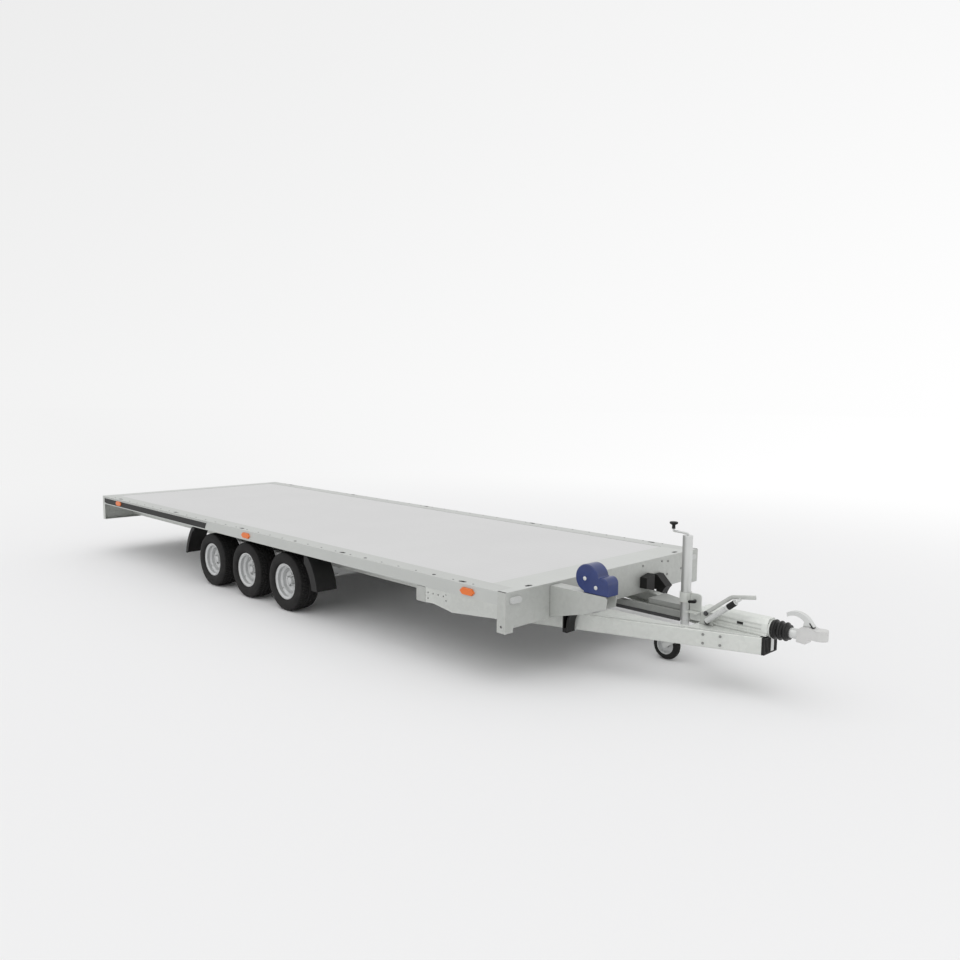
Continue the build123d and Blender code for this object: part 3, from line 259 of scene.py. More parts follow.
plainLook = {
    "metallic": 0.0,
    "specular": 0.5,
    "coat": 0.0,
    "coatRoughness": 0.08,
    "roughness": 0.5,
    "roughSwing": 0.05,
    "patchScale": 3.0,
    "patch": 0.03,
    "dustHeight": 0.4,
    "dust": 0.1,
    "edgeRadius": 0.0015,
    "edgeWear": 0.0,
    "edgeColor": (0.8, 0.8, 0.8),
    "grainStretch": (1, 1, 1),
    "grainScale": 250.0,
    "grain": 0.08,
    "grainDepth": 0.0005,
    "grainRange": (0.25, 0.75),
    "flakeScale": 60.0,
    "flakes": 0.0,
    "creviceReach": 0.012,
    "crevice": 0.0,
}


def lookOf(**changes):
    return {**plainLook, **changes}


def startMaterial(name, look):
    material = bpy.data.materials.new(name)
    tree = emptyTree(material)
    shader = place(tree, "BsdfPrincipled", 5, 0, {
        "Metallic": look["metallic"],
        "Roughness": look["roughness"],
        "Specular IOR Level": look["specular"],
        "Coat Weight": look["coat"],
        "Coat Roughness": look["coatRoughness"],
    })
    place(tree, "OutputMaterial", 6, 0, {"Surface": (shader, 0)})
    return material, tree, shader


def finishSurface(tree, shader, look, color=None):
    # color is a (node, output) pair where it isn't the look's own
    weather = useGroup(tree, weatherGroup, 1, 0, {
        "Color": color or (*look["color"], 1),
        "Patch Scale": look["patchScale"],
        "Patch Strength": look["patch"],
        "Dust Height": look["dustHeight"],
        "Dust Strength": look["dust"],
    })
    edges = useGroup(tree, edgeGroup, 1, 2, {"Radius": look["edgeRadius"]})
    grain = useGroup(tree, grainGroup, 2, 2, {
        "Stretch": look["grainStretch"],
        "Scale": look["grainScale"],
        "Strength": look["grain"],
        "Distance": look["grainDepth"],
        "Normal": (edges, "Normal"),
    })
    worn = mathNode(tree, 2, 1, "MULTIPLY", (edges, "Edge"), look["edgeWear"])
    brighten = mixColor(tree, 3, 0, (worn, 0), (weather, "Color"), (*look["edgeColor"], 1))
    base = (brighten, mixResult)
    if look["crevice"] > 0:
        crevice = useGroup(tree, creviceGroup, 4, 0, {
            "Color": base,
            "Distance": look["creviceReach"],
            "Strength": look["crevice"],
        })
        base = (crevice, "Color")
    wire(tree, *base, shader, "Base Color")
    smoothest, roughest = (look["roughness"] + sign * look["roughSwing"] for sign in (-1, 1))
    rough = rangeNode(tree, 3, 2, (grain, "Height"), *look["grainRange"], smoothest, roughest)
    dull = mathNode(tree, 4, 2, "ADD", (rough, "Result"), (weather, "Dust"))
    wire(tree, dull, 0, shader, "Roughness")
    wire(tree, grain, "Normal", shader, "Normal")
    return grain


def makeFinish(name, look, tone=1.0):
    # one colour all over, with the flakes of a zinc coat where the look has them
    material, tree, shader = startMaterial(name, look)
    look = {**look, "color": tuple(tone * part for part in look["color"])}
    color = None
    if look["flakes"] > 0:
        flakes = useGroup(tree, spangleGroup, 0, 0, {
            "Color": (*look["color"], 1),
            "Scale": look["flakeScale"],
            "Contrast": look["flakes"],
        })
        color = (flakes, "Color")
    finishSurface(tree, shader, look, color)
    return material


deckLook = lookOf(
    color=(0.662, 0.662, 0.662), specular=0.35, roughness=0.62, patchScale=1.3,
    patch=0.012, grainScale=420.0, grain=0.15,
)
# tone is painted shade in the dips between the ribs
deckRibs = {"pitch": 0.042, "depth": 0.0006, "relief": 0.6, "tone": 0.035, "dips": (-1, -0.8)}


def deckSheet():
    # pale coated floor with fine ribs across the trailer, painted a little darker in the dips
    # between them as shade
    material, tree, shader = startMaterial("deckSheet", deckLook)
    where = place(tree, "TexCoord", -4, 0)
    parts = place(tree, "SeparateXYZ", -3, 0, {0: (where, "Object")})
    turns = mathNode(tree, -2, 0, "MULTIPLY", (parts, "X"), math.tau / deckRibs["pitch"])
    wave = mathNode(tree, -1, 0, "SINE", (turns, 0))
    crest = rangeNode(tree, 0, 1, (wave, 0), *deckRibs["dips"], 0, 1)
    tone = rangeNode(tree, 0, 0, (crest, "Result"), 0, 1, 1 - deckRibs["tone"], 1, smooth=False)
    toned = mixColor(tree, 0.5, 0, 1, (*deckLook["color"], 1), (tone, "Result"), "MULTIPLY")
    grain = finishSurface(tree, shader, deckLook, (toned, mixResult))
    ribs = place(tree, "Bump", 4, 3, {
        "Strength": deckRibs["relief"],
        "Distance": deckRibs["depth"],
        "Height": (crest, "Result"),
        "Normal": (grain, "Normal"),
    })
    wire(tree, ribs, "Normal", shader, "Normal")
    return material


# extruded aluminium, drawn lines along its length
railLook = lookOf(
    color=(0.585, 0.6, 0.58), metallic=0.35, roughness=0.42, patchScale=2.0, patch=0.02,
    edgeRadius=0.003, edgeWear=0.35, grainStretch=(0.02, 1, 1), grainScale=900.0,
    grain=0.12, grainDepth=0.0003, creviceReach=0.015, crevice=0.5,
)
galvanisedLook = lookOf(
    color=(0.56, 0.575, 0.55), metallic=0.3, roughness=0.46, roughSwing=0.08, patchScale=1.8,
    patch=0.05, dust=0.14, edgeRadius=0.002, edgeWear=0.3, grainScale=35.0,
    grain=0.05, grainDepth=0.001, flakeScale=45.0, flakes=0.06,
    creviceReach=0.015, crevice=0.6,
)
zincLook = lookOf(
    color=(0.68, 0.69, 0.68), metallic=0.45, roughness=0.36, roughSwing=0.02, patchScale=5.0,
    edgeWear=0.15, grainScale=160.0, grain=0.012, flakeScale=130.0, flakes=0.02,
    creviceReach=0.010, crevice=0.75,
)
# tubeShade paints a dark reflection streak down one side of the jockey tube
tubeShade = {"across": (-0.705, -0.709, 0.0), "from": 0.55, "to": 0.93, "tone": 0.5}


def reflectionStreakTube():
    # plated tube with a painted dark reflection streak down one side
    material, tree, shader = startMaterial("reflectionStreakTube", zincLook)
    facing = place(tree, "TexCoord", -4, 0)
    side = vectorNode(tree, -3, 0, "DOT_PRODUCT", (facing, "Normal"), tubeShade["across"])
    streak = rangeNode(tree, -2, 0, (side, "Value"), tubeShade["from"], tubeShade["to"],
                       1, tubeShade["tone"])
    toned = mixColor(tree, -1, 0, 1, (*zincLook["color"], 1), (streak, "Result"), "MULTIPLY")
    finishSurface(tree, shader, zincLook, (toned, mixResult))
    return material


# zinc plated casting with a sandy skin
castLook = lookOf(
    color=(0.66, 0.66, 0.65), metallic=0.35, roughness=0.45, roughSwing=0.04, patchScale=12.0,
    patch=0.04, edgeWear=0.2, grainScale=260.0, grainDepth=0.0006, flakeScale=180.0,
    flakes=0.03, crevice=0.5,
)
darkSteelLook = lookOf(
    color=(0.075, 0.075, 0.078), metallic=0.3, patchScale=30.0, patch=0.1,
    grain=0.1,
)
plasticLook = lookOf(
    color=(0.011, 0.011, 0.011), specular=0.3, patchScale=6.0, patch=0.12,
    dustHeight=0.5, dust=0.03, grainScale=700.0, grain=0.3, grainDepth=0.0004,
    edgeColor=(0.07, 0.07, 0.07),
)
rubberLook = lookOf(
    color=(0.0095, 0.0095, 0.01), specular=0.3, roughness=0.74, patchScale=9.0,
    patch=0.15, dustHeight=0.3, dust=0.035, grainScale=500.0, grain=0.3,
    grainDepth=0.0004, edgeWear=0.08, edgeColor=(0.05, 0.05, 0.05),
)
bellowsLook = lookOf(
    color=(0.009, 0.009, 0.009), specular=0.4, roughness=0.4, patchScale=20.0,
    patch=0.1, dust=0.03, grainScale=600.0, grain=0.2, edgeWear=0.05,
    edgeColor=(0.05, 0.05, 0.05),
)
wheelLook = lookOf(
    color=(0.575, 0.585, 0.585), metallic=0.35, coat=0.4, roughness=0.3, patchScale=14.0,
    dustHeight=0.35, grainScale=450.0, grain=0.06, edgeWear=0.3,
)
winchLook = lookOf(
    color=(0.012, 0.03, 0.145), coat=0.25, roughness=0.34, patchScale=18.0, patch=0.08,
    dust=0.0, grainScale=300.0, grain=0.15, edgeWear=0.08,
    edgeColor=(0.07, 0.1, 0.3),
)
lensLook = lookOf(specular=0.35, coat=0.15, roughness=0.3)
lensPrisms = {
    "relief": 0.25,
    "depth": 0.001,
    "glintAndShadeTones": (1.15, 0.75),
    "reach": 0.6,
    "orangeLens": {"color": (0.86, 0.19, 0.03), "pitch": 0.008},
    "clearLens": {"color": (0.62, 0.63, 0.62), "pitch": 0.007},
    "redLens": {"color": (0.5, 0.012, 0.012), "pitch": 0.009},
}


def lampLens(name):
    # glossy moulded lens with a grid of small prisms, each painted lighter at its middle and darker
    # towards its rim as painted glint and shade
    own = lensPrisms[name]
    material, tree, shader = startMaterial(name, lensLook)
    where = place(tree, "TexCoord", -2, 0)
    prisms = place(tree, "TexVoronoi", -1, 0, {
        "Vector": (where, "Object"),
        "Scale": 1 / own["pitch"],
        "Randomness": 0,
    }, distance="CHEBYCHEV")
    relief = place(tree, "Bump", 3, 1, {
        "Strength": lensPrisms["relief"],
        "Distance": lensPrisms["depth"],
        "Height": (prisms, "Distance"),
    })
    # painted glint at each prism's middle, painted shade towards its rim
    depth = rangeNode(tree, 1, 0, (prisms, "Distance"), 0, lensPrisms["reach"],
                      *lensPrisms["glintAndShadeTones"])
    toned = mixColor(tree, 2, 0, 1, (*own["color"], 1), (depth, "Result"), "MULTIPLY")
    wire(tree, relief, "Normal", shader, "Normal")
    wire(tree, toned, mixResult, shader, "Base Color")
    return material


finishes = {
    "deck_panel": deckSheet(),
    "edge_rail": makeFinish("edgeRail", railLook),
    "galvanised": makeFinish("galvanisedSteel", galvanisedLook),
    "zinc": makeFinish("zincPlate", zincLook),
    "cast": makeFinish("castMetal", castLook),
    "black_plastic": makeFinish("blackPlastic", plasticLook),
    "tyre_rubber": makeFinish("tyreRubber", rubberLook),
    "bellows_rubber": makeFinish("bellowsRubber", bellowsLook),
    "wheel_paint": makeFinish("wheelPaint", wheelLook),
    "winch_blue": makeFinish("winchPaint", winchLook),
    "orange_lens": lampLens("orangeLens"),
    "clear_lens": lampLens("clearLens"),
    "red_lens": lampLens("redLens"),
}

# lighter and darker batches of metal, and painted light and shade on some parts: a tone, then the
# nodes it covers
batchAndShadeTones = {
    "drawbar": (1.2, "drawbar_leg_left", "drawbar_leg_right", "drawbar_plate"),
    "housing": (1.28, "overrun_housing", "jockey_bracket"),
    # the left gusset's darker tone is painted shade, shared by the centre beam
    "gusset": (0.62, "drawbar_gussets"),
    # the right gusset's lighter tone is painted light
    "litRightGusset": (1.1,),
    "lever": (0.98, "handbrake_lever"),
    "drum": (0.5, "winch_drum"),
    "arm": (0.86, "winch_console"),
    # the apron flanges' darker tone is painted shade, as on a recessed step
    "flange": (0.8,),
    # the front panel's darker tone is painted shade on its forward face
    "panel": (0.9, "front_panel"),
    "sideRail": (0.91, "rail_left", "rail_right"),
}
batchAndShadeFinish, nodeFinish = {}, {}
for batch, (tone, *covered) in batchAndShadeTones.items():
    look = railLook if batch == "sideRail" else galvanisedLook
    batchAndShadeFinish[batch] = makeFinish(f"{batch}Metal", look, tone)
    nodeFinish.update((node, batchAndShadeFinish[batch]) for node in covered)
nodeFinish["jockey_tube"] = reflectionStreakTube()
for subpart in frame["record"]["subparts"]:
    node = subpart["node"]
    nodes[node].data.materials.clear()
    nodes[node].data.materials.append(nodeFinish.get(node, finishes[subpart["material_slot"]]))
# dark steel for rivets, rings and pivots, and painted shade for the strip under the centre beam
darkFastenerAndShade = makeFinish("darkSteel", darkSteelLook)
# the right gusset, on the near side, is painted lighter than the left: painted light on it, painted
# shade on the far one
gussets = nodes["drawbar_gussets"].data
gussets.materials.append(batchAndShadeFinish["litRightGusset"])
for face in gussets.polygons:
    face.material_index = 1 if face.center.y < 0 else 0
print("materials set on every carried-over piece")


# mesh helpers

boltForm = {
    "washer": 0.72,
    "washerTop": 0.22,
    "headFoot": 0.2,
    "chamferFrom": 0.88,
    "chamfer": 0.86,
    "washerSides": 20,
}
thinBevel = 0.3  # of a thin plate's thickness
domeAngles = (0.0, 0.45, 0.9, 1.3)
up = Vector((0, 0, 1))


def meshFrom(name, bm, finish, sharpAngle=35):
    # no sharp angle leaves every face flat
    mesh = bpy.data.meshes.new(name)
    bmesh.ops.recalc_face_normals(bm, faces=bm.faces)
    bm.to_mesh(mesh)
    bm.free()
    if sharpAngle is not None:
        mesh.shade_smooth()
        mesh.set_sharp_from_angle(angle=math.radians(sharpAngle))
    mesh.materials.append(finish)
    return mesh


def addObject(name, data):
    added = bpy.data.objects.new(name, data)
    bpy.context.scene.collection.objects.link(added)
    return added


def addPiece(name, bm, slot, body="chassis", finish=None, sharpAngle=35):
    piece = addObject(name, meshFrom(name, bm, finish or finishes[slot], sharpAngle))
    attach(piece, body)


def axisFrame(centre, axis, roll=0.0):
    turn = Vector(axis).to_track_quat("Z", "Y").to_matrix().to_4x4()
    return Matrix.Translation(Vector(centre)) @ turn @ Matrix.Rotation(roll, 4, "Z")


def bridge(bm, lower, upper, shift=0):
    # quads between two closed loops of as many points
    count = len(lower)
    for index in range(count):
        after = (index + 1) % count
        far, farAfter = upper[(index + shift) % count], upper[(after + shift) % count]
        bm.faces.new((lower[index], lower[after], farAfter, far))


def bridgeAll(bm, loops):
    for lower, upper in zip(loops, loops[1:]):
        bridge(bm, lower, upper)


def addRings(bm, matrix, rings, sides, closeEnd=True):
    # rings are (radius, height) along the axis; a prism, dome or collar
    loops = []
    for radius, height in rings:
        turns = [math.tau * index / sides for index in range(sides)]
        points = [(radius * math.cos(turn), radius * math.sin(turn), height) for turn in turns]
        loops.append([bm.verts.new(matrix @ Vector(point)) for point in points])
    bridgeAll(bm, loops)
    if closeEnd:
        bm.faces.new(loops[-1])


def addDome(bm, centre, radius, height):
    rings = [(radius * math.cos(angle), height * math.sin(angle)) for angle in domeAngles]
    addRings(bm, axisFrame(centre, up), rings, 10)


def addHexBolt(bm, centre, axis, across, height, roll=0.0):
    # washer, hexagon with a chamfered top
    base = axisFrame(centre, axis, roll)
    washer, washerTop = across * boltForm["washer"], height * boltForm["washerTop"]
    rings = [(washer, 0), (washer, washerTop), (across / 2, washerTop)]
    addRings(bm, base, rings, boltForm["washerSides"], closeEnd=False)
    corner = across / math.sqrt(3)
    head = [
        (corner, height * boltForm["headFoot"]),
        (corner, height * boltForm["chamferFrom"]),
        (corner * boltForm["chamfer"], height),
    ]
    addRings(bm, base, head, 6)


def addTube(bm, points, radius, sides=8, closed=False):
    # round wire through points, joined into a ring if closed
    loops = []
    count = len(points)
    normal = None
    for index, point in enumerate(points):
        before = points[index - 1] if index or closed else point
        after = points[(index + 1) % count] if index < count - 1 or closed else point
        tangent = (after - before).normalized()
        if normal is None:
            normal = tangent.orthogonal().normalized()
        normal = (normal - tangent * normal.dot(tangent)).normalized()
        side = tangent.cross(normal)
        loop = []
        for step in range(sides):
            angle = math.tau * step / sides
            offset = (normal * math.cos(angle) + side * math.sin(angle)) * radius
            loop.append(bm.verts.new(point + offset))
        loops.append(loop)
    bridgeAll(bm, loops)
    if closed:
        # the frame may turn on its way round, so the last ring meets the nearest start
        first, last = loops[0], loops[-1]
        shift = min(range(sides), key=lambda s: (first[s].co - last[0].co).length)
        bridge(bm, last, first, shift)
    else:
        bm.faces.new(list(reversed(loops[0])))
        bm.faces.new(loops[-1])


def addPlate(bm, spans, bevel, turn=None):
    # flat plate, edges broken; spans are its (from, to) along x, y and z
    size = [abs(end - start) for start, end in spans]
    centre = Vector([(start + end) / 2 for start, end in spans])
    made = bmesh.ops.create_cube(bm, size=1, matrix=Matrix.Diagonal((*size, 1)))
    edges = list({edge for vert in made["verts"] for edge in vert.link_edges})
    cut = bmesh.ops.bevel(bm, geom=edges, offset=bevel, segments=2, affect="EDGES")
    verts = {vert for face in cut["faces"] for vert in face.verts}
    verts |= {vert for vert in made["verts"] if vert.is_valid}
    matrix = Matrix.Translation(centre) @ (turn or Matrix.Identity(4))
    bmesh.ops.transform(bm, matrix=matrix, verts=list(verts))


def around(middle, length):
    return middle - length / 2, middle + length / 2


def middleOf(node):
    low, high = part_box(node)
    return (low + high) / 2


# tyres with a cut tread

tread = {
    "blocks": 60,
    "stepsPerBlock": 4,
    "grooveAt": (-0.046, -0.016, 0.016, 0.046),
    "grooveWidth": 0.008,
    "grooveDepth": 0.0065,
    "grooveLean": 0.0012,
    "sipeDepth": 0.0045,
    "treadHalf": 0.073,
    "crown": 0.0025,
    "rimRadius": 0.145,
    "sharpAngle": 30,
}
# the wall's rows are (radius or drop below the tread, distance from the middle plane)
tyreWall = {
    "bead": ((0.1275, 0.0742), (0.143, 0.0765), (0.149, 0.0815)),
    "steps": 8,
    "foot": 0.0865,
    "bulgeShort": 0.0872,
    "moulded": (2, 6),
    "mouldedRise": 0.0006,
    "shoulder": ((0.014, 0.088), (0.0085, 0.0858), (0.0048, 0.0815), (0.0032, 0.0765)),
}


def wallProfile(radius, halfWidth, sign):
    shoulder = radius - tyreWall["shoulder"][0][0]
    middle = (tread["rimRadius"] + shoulder) / 2
    rows = list(tyreWall["bead"])
    start, steps = rows[-1][0], tyreWall["steps"]
    for step in range(1, steps):
        r = start + (shoulder - start) * step / steps
        bow = 1 - ((r - middle) / (shoulder - middle)) ** 2
        across = tyreWall["foot"] + (halfWidth - tyreWall["bulgeShort"]) * bow
        if step in tyreWall["moulded"]:
            across += tyreWall["mouldedRise"]
        rows.append((r, across))
    rows += [(radius - drop, across) for drop, across in tyreWall["shoulder"]]
    return [(r, sign * across, False) for r, across in rows]


def tyreProfile(radius, halfWidth):
    # (radius, place across, may be cut by the cross grooves) from the inner bead over the tread
    p = tread
    points = wallProfile(radius, halfWidth, -1)
    edges = [-p["treadHalf"]]
    for centre in p["grooveAt"]:
        edges += around(centre, p["grooveWidth"])
    edges.append(p["treadHalf"])
    for index in range(0, len(edges), 2):
        left, right = edges[index], edges[index + 1]
        for across in (left, (left + right) / 2, right):
            r = radius - p["crown"] * (across / p["treadHalf"]) ** 2
            points.append((r, across, True))
        if index + 2 < len(edges):
            low = radius - p["grooveDepth"]
            points.append((low, right + p["grooveLean"], False))
            points.append((low, edges[index + 2] - p["grooveLean"], False))
    return points + list(reversed(wallProfile(radius, halfWidth, 1)))


def treadCut(step, across):
    # depth of the cross groove at this step round the tyre, staggered from rib to rib
    p = tread
    rib = sum(1 for groove in p["grooveAt"] if across > groove)
    onCut = (step + rib * 2) % p["stepsPerBlock"] == 0
    return p["sipeDepth"] if onCut and abs(across) > p["grooveAt"][2] else 0.0


def buildTyreMesh(name):
    low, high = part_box("tyre_front_right")
    size = high - low
    profile = tyreProfile(max(size.x, size.z) / 2, size.y / 2)
    steps = tread["blocks"] * tread["stepsPerBlock"]
    bm = bmesh.new()
    loops = []
    for step in range(steps):
        angle = math.tau * step / steps
        loop = []
        for r, across, cuttable in profile:
            reach = r - treadCut(step, across) if cuttable else r
            loop.append(bm.verts.new((reach * math.sin(angle), across, reach * math.cos(angle))))
        loops.append(loop)
    bridgeAll(bm, [*loops, loops[0]])
    return meshFrom(name, bm, finishes["tyre_rubber"], tread["sharpAngle"])


tyreMesh = buildTyreMesh("treadedTyre")
axlePlaces = ("front", "middle", "rear")
wheelPlaces = [(axle, side) for axle in axlePlaces for side in ("left", "right")]
for axle, side in wheelPlaces:
    node = f"tyre_{axle}_{side}"
    tyre = addObject(f"treaded_{node}", tyreMesh)
    tyre.location = middleOf(node)
    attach(tyre, f"wheel_{axle}_{side}")
    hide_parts(node)
print("tyres done")


# wheel bolts, valves and hub caps

hub = {
    "boltCircle": 0.056,
    "boltCount": 5,
    "boltAcross": 0.017,
    "boltHeight": 0.013,
    "boltFoot": 0.0035,
    "boltShank": ((0.0072, 0), (0.0078, 0.013)),
    "boltSeat": 0.014,
    "boltChamfer": (0.84, 0.002),
    "capRadius": 0.0295,
    "capHeight": 0.016,
    "capForm": ((1, 0.5), (0.93, 0.8), (0.75, 0.97), (0.3, 1)),
    "capSink": 0.006,
    "capSides": 28,
    "valveCircle": 0.118,
    "valveTurn": 218,
    "valveOut": 0.040,
    "valveSides": 10,
    "valveForm": ((0.005, 0), (0.0045, 0.008), (0.0028, 0.010), (0.0028, 0.008), (0.0036, 0.008),
                  (0.0036, 0.014), (0.002, 0.0148)),
}


def onCircle(centre, radius, angle, y):
    return centre.x + radius * math.cos(angle), y, centre.z + radius * math.sin(angle)


def addWheelTrim(axle, side):
    sign = 1 if side == "left" else -1
    wheel, outward = f"wheel_{axle}_{side}", (0, sign, 0)
    centre = middleOf(f"tyre_{axle}_{side}")
    corner = hub["boltAcross"] / math.sqrt(3)
    top = hub["boltSeat"] + hub["boltHeight"]
    narrower, lower = hub["boltChamfer"]
    bolt = [*hub["boltShank"], (corner, hub["boltSeat"]), (corner, top - lower),
            (corner * narrower, top)]
    bm = bmesh.new()
    for index in range(hub["boltCount"]):
        angle = math.pi / 2 + math.tau * index / hub["boltCount"]
        spot = onCircle(centre, hub["boltCircle"], angle, centre.y + sign * hub["boltFoot"])
        addRings(bm, axisFrame(spot, outward, roll=angle), bolt, 6)
    addPiece(f"wheel_bolts_{axle}_{side}", bm, "zinc", wheel, finishes["wheel_paint"])
    low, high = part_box(f"axle_{axle}")
    noseEnd = high.y if sign > 0 else low.y
    radius, height = hub["capRadius"], hub["capHeight"]
    cap = [(radius, -hub["capSink"]), *((radius * r, height * h) for r, h in hub["capForm"])]
    bm = bmesh.new()
    addRings(bm, axisFrame((centre.x, noseEnd, centre.z), outward), cap, hub["capSides"])
    addPiece(f"hub_cap_{axle}_{side}", bm, "zinc", finish=finishes["wheel_paint"])
    spot = onCircle(centre, hub["valveCircle"], math.radians(hub["valveTurn"]),
                    centre.y + sign * hub["valveOut"])
    bm = bmesh.new()
    addRings(bm, axisFrame(spot, outward), hub["valveForm"], hub["valveSides"])
    addPiece(f"valve_{axle}_{side}", bm, "zinc", wheel)


for axle, side in wheelPlaces:
    addWheelTrim(axle, side)
print("wheel trim done")


# rivets, lashing rings and plugs along the deck edge

edging = {
    "rivetPitch": 0.1825,
    "rivetStart": 0.303,
    "rivetFromEdge": 0.027,
    "rivetRadius": 0.007,
    "rivetRise": 0.0018,
    "rivetPanGap": 0.045,
    "plugsAt": (0.673, 1.407, 2.31),
    "plugSides": 18,
    "plugForm": ((0.012, 0), (0.012, 0.0010), (0.0102, 0.0016)),
    "ringRadius": 0.0115,
    "ringWire": 0.0029,
    "ringStretch": 1.6,
    "ringTail": 0.006,
    "ringSteps": 12,
    "clipBack": 0.010,
    "clipRadius": 0.006,
    "clipRise": 0.0048,
    "pansAt": (0.403, 1.680, 3.130, 4.375, 5.650),
    "panFromEdge": 0.030,
    "frontPanFromEdge": 0.045,
    "frontPanY": 0.820,
    "panDepth": 0.005,
    "liner": (0.060, 0.028),
    "linerLift": 0.0002,
    "linerRim": 0.0006,
    "linerSides": 24,
    "cornerSlot": (0.066, 0.013, 0.0008),
    "cornerSlotFrom": 0.036,
    "cornerSlotInset": 0.001,
}
railLow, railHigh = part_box("rail_right")
deckTop = railHigh.z
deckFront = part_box("front_panel")[1].x
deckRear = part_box("rear_lamps")[0].x
halfWidth = -railLow.y
# each pan's middle, and the ways along and across its length
pans = [
    (Vector((deckFront - back, sign * (halfWidth - edging["panFromEdge"]), deckTop)),
     Vector((1, 0, 0)), Vector((0, 1, 0)))
    for back in edging["pansAt"] for sign in (-1, 1)
] + [
    (Vector((deckFront - edging["frontPanFromEdge"], sign * edging["frontPanY"], deckTop)),
     Vector((0, sign, 0)), Vector((1, 0, 0)))
    for sign in (-1, 1)
]


def addRivets():
    bm = bmesh.new()
    pitch, start = edging["rivetPitch"], edging["rivetStart"]
    for index in range(int((deckFront - deckRear - start) / pitch)):
        back = start + index * pitch
        if any(abs(back - pan) < edging["rivetPanGap"] for pan in edging["pansAt"]):
            continue
        for sign in (-1, 1):
            y = sign * (halfWidth - edging["rivetFromEdge"])
            addDome(bm, (deckFront - back, y, deckTop), edging["rivetRadius"],
                    edging["rivetRise"])
    addPiece("deck_rivets", bm, "zinc", finish=darkFastenerAndShade)


def ringPoints(centre, along, across):
    # D-shaped ring lying in its pan
    r = edging["ringRadius"]
    reach = along * (r * edging["ringStretch"])
    steps = edging["ringSteps"]
    angles = [math.pi * step / steps for step in range(steps + 1)]
    points = [centre + reach * math.sin(a) + across * (r * math.cos(a)) for a in angles]
    tail = centre - along * edging["ringTail"]
    return points + [tail - across * r, tail + across * r]


def addLashingRings():
    bm = bmesh.new()
    gauge = edging["ringWire"]
    for middle, along, across in pans:
        floor = middle - up * edging["panDepth"]
        addTube(bm, ringPoints(floor + up * gauge, along, across), gauge, closed=True)
        addDome(bm, floor - along * edging["clipBack"], edging["clipRadius"],
                edging["clipRise"])
    addPiece("lashing_rings", bm, "zinc", finish=darkFastenerAndShade)


def addPanLiners():
    # dark moulded liners on the floor of each pan
    bm = bmesh.new()
    length, width = edging["liner"]
    sides = edging["linerSides"]
    for middle, along, across in pans:
        floor, rim = [], []
        along = Vector([abs(part) for part in along])
        base = middle - up * (edging["panDepth"] - edging["linerLift"])
        for step in range(sides):
            angle = math.tau * step / sides
            end = 1 if math.cos(angle) > 0 else -1
            reach = ((length - width) * end + width * math.cos(angle)) / 2
            point = base + along * reach + across * (width / 2 * math.sin(angle))
            floor.append(bm.verts.new(point))
            rim.append(bm.verts.new(point + up * edging["linerRim"]))
        bm.faces.new(floor)
        bridge(bm, floor, rim)
    addPiece("pan_liners", bm, "black_plastic", sharpAngle=None)


def addSocketPlugs():
    bm = bmesh.new()
    for back in edging["plugsAt"]:
        centre = (deckFront - back, edging["panFromEdge"] - halfWidth, deckTop)
        addRings(bm, axisFrame(centre, up), edging["plugForm"], edging["plugSides"])
    length, width, rise = edging["cornerSlot"]
    outer = halfWidth - edging["cornerSlotInset"]
    for sign in (-1, 1):
        addPlate(bm, (
            around(deckFront - edging["cornerSlotFrom"], length),
            (sign * (outer - width), sign * outer),
            (deckTop, deckTop + rise),
        ), rise * thinBevel)
    addPiece("socket_plugs", bm, "black_plastic")


addRivets()
addLashingRings()
addPanLiners()
addSocketPlugs()
print("deck edge trim done")


# bolts on the panels, drawbar and axles, and the trim of the folded sheets

bolts = {
    "panelSpots": ((0.345, 0.555), (0.585, 0.558), (0.665, 0.548), (0.657, 0.451), (0.845, 0.469)),
    "panelAcross": 0.012,
    "panelRise": 0.006,
    "panelTwist": 7,
    "rearRise": 0.0055,
    "rearSink": 0.0001,
    "rearTwist": 5,
    "legBacks": (0.255, 0.357),
    "legGap": 0.054,
    "legSlope": 0.3502,
    "legFront": (1.150, 0.080),
    "legAcross": 0.0115,
    "legRise": 0.006,
    "legTwist": 9,
    "seatAcross": 0.019,
    "seatRise": 0.012,
    "seatMiddle": 0.040,
    "seatHeight": 0.291,
    "seatSpots": ((-0.062, -0.018), (-0.062, 0.018), (0.062, -0.018), (0.062, 0.018)),
}


def addPanelBolts():
    across = bolts["panelAcross"]
    front, rear = bmesh.new(), bmesh.new()
    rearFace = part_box("rear_lamps")[1].x - bolts["rearSink"]
    for y, z in bolts["panelSpots"]:
        addHexBolt(front, (deckFront, y, z), (1, 0, 0), across, bolts["panelRise"],
                   roll=y * bolts["panelTwist"])
        for sign in (-1, 1):
            spot = (rearFace, sign * y, z)
            addHexBolt(rear, spot, (-1, 0, 0), across, bolts["rearRise"],
                       roll=y * bolts["rearTwist"])
    addPiece("panel_bolts", front, "zinc", finish=batchAndShadeFinish["drum"])
    addPiece("rear_panel_bolts", rear, "zinc")


def addAxleBolts():
    bm = bmesh.new()
    beamY = middleOf("chassis_beam_left").y
    for axle in axlePlaces:
        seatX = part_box(f"axle_{axle}")[1].x - bolts["seatMiddle"]
        for sign in (-1, 1):
            for dx, dy in bolts["seatSpots"]:
                spot = (seatX + dx, sign * beamY + dy, bolts["seatHeight"])
                addHexBolt(bm, spot, -up, bolts["seatAcross"], bolts["seatRise"])
    addPiece("axle_bolts", bm, "zinc")


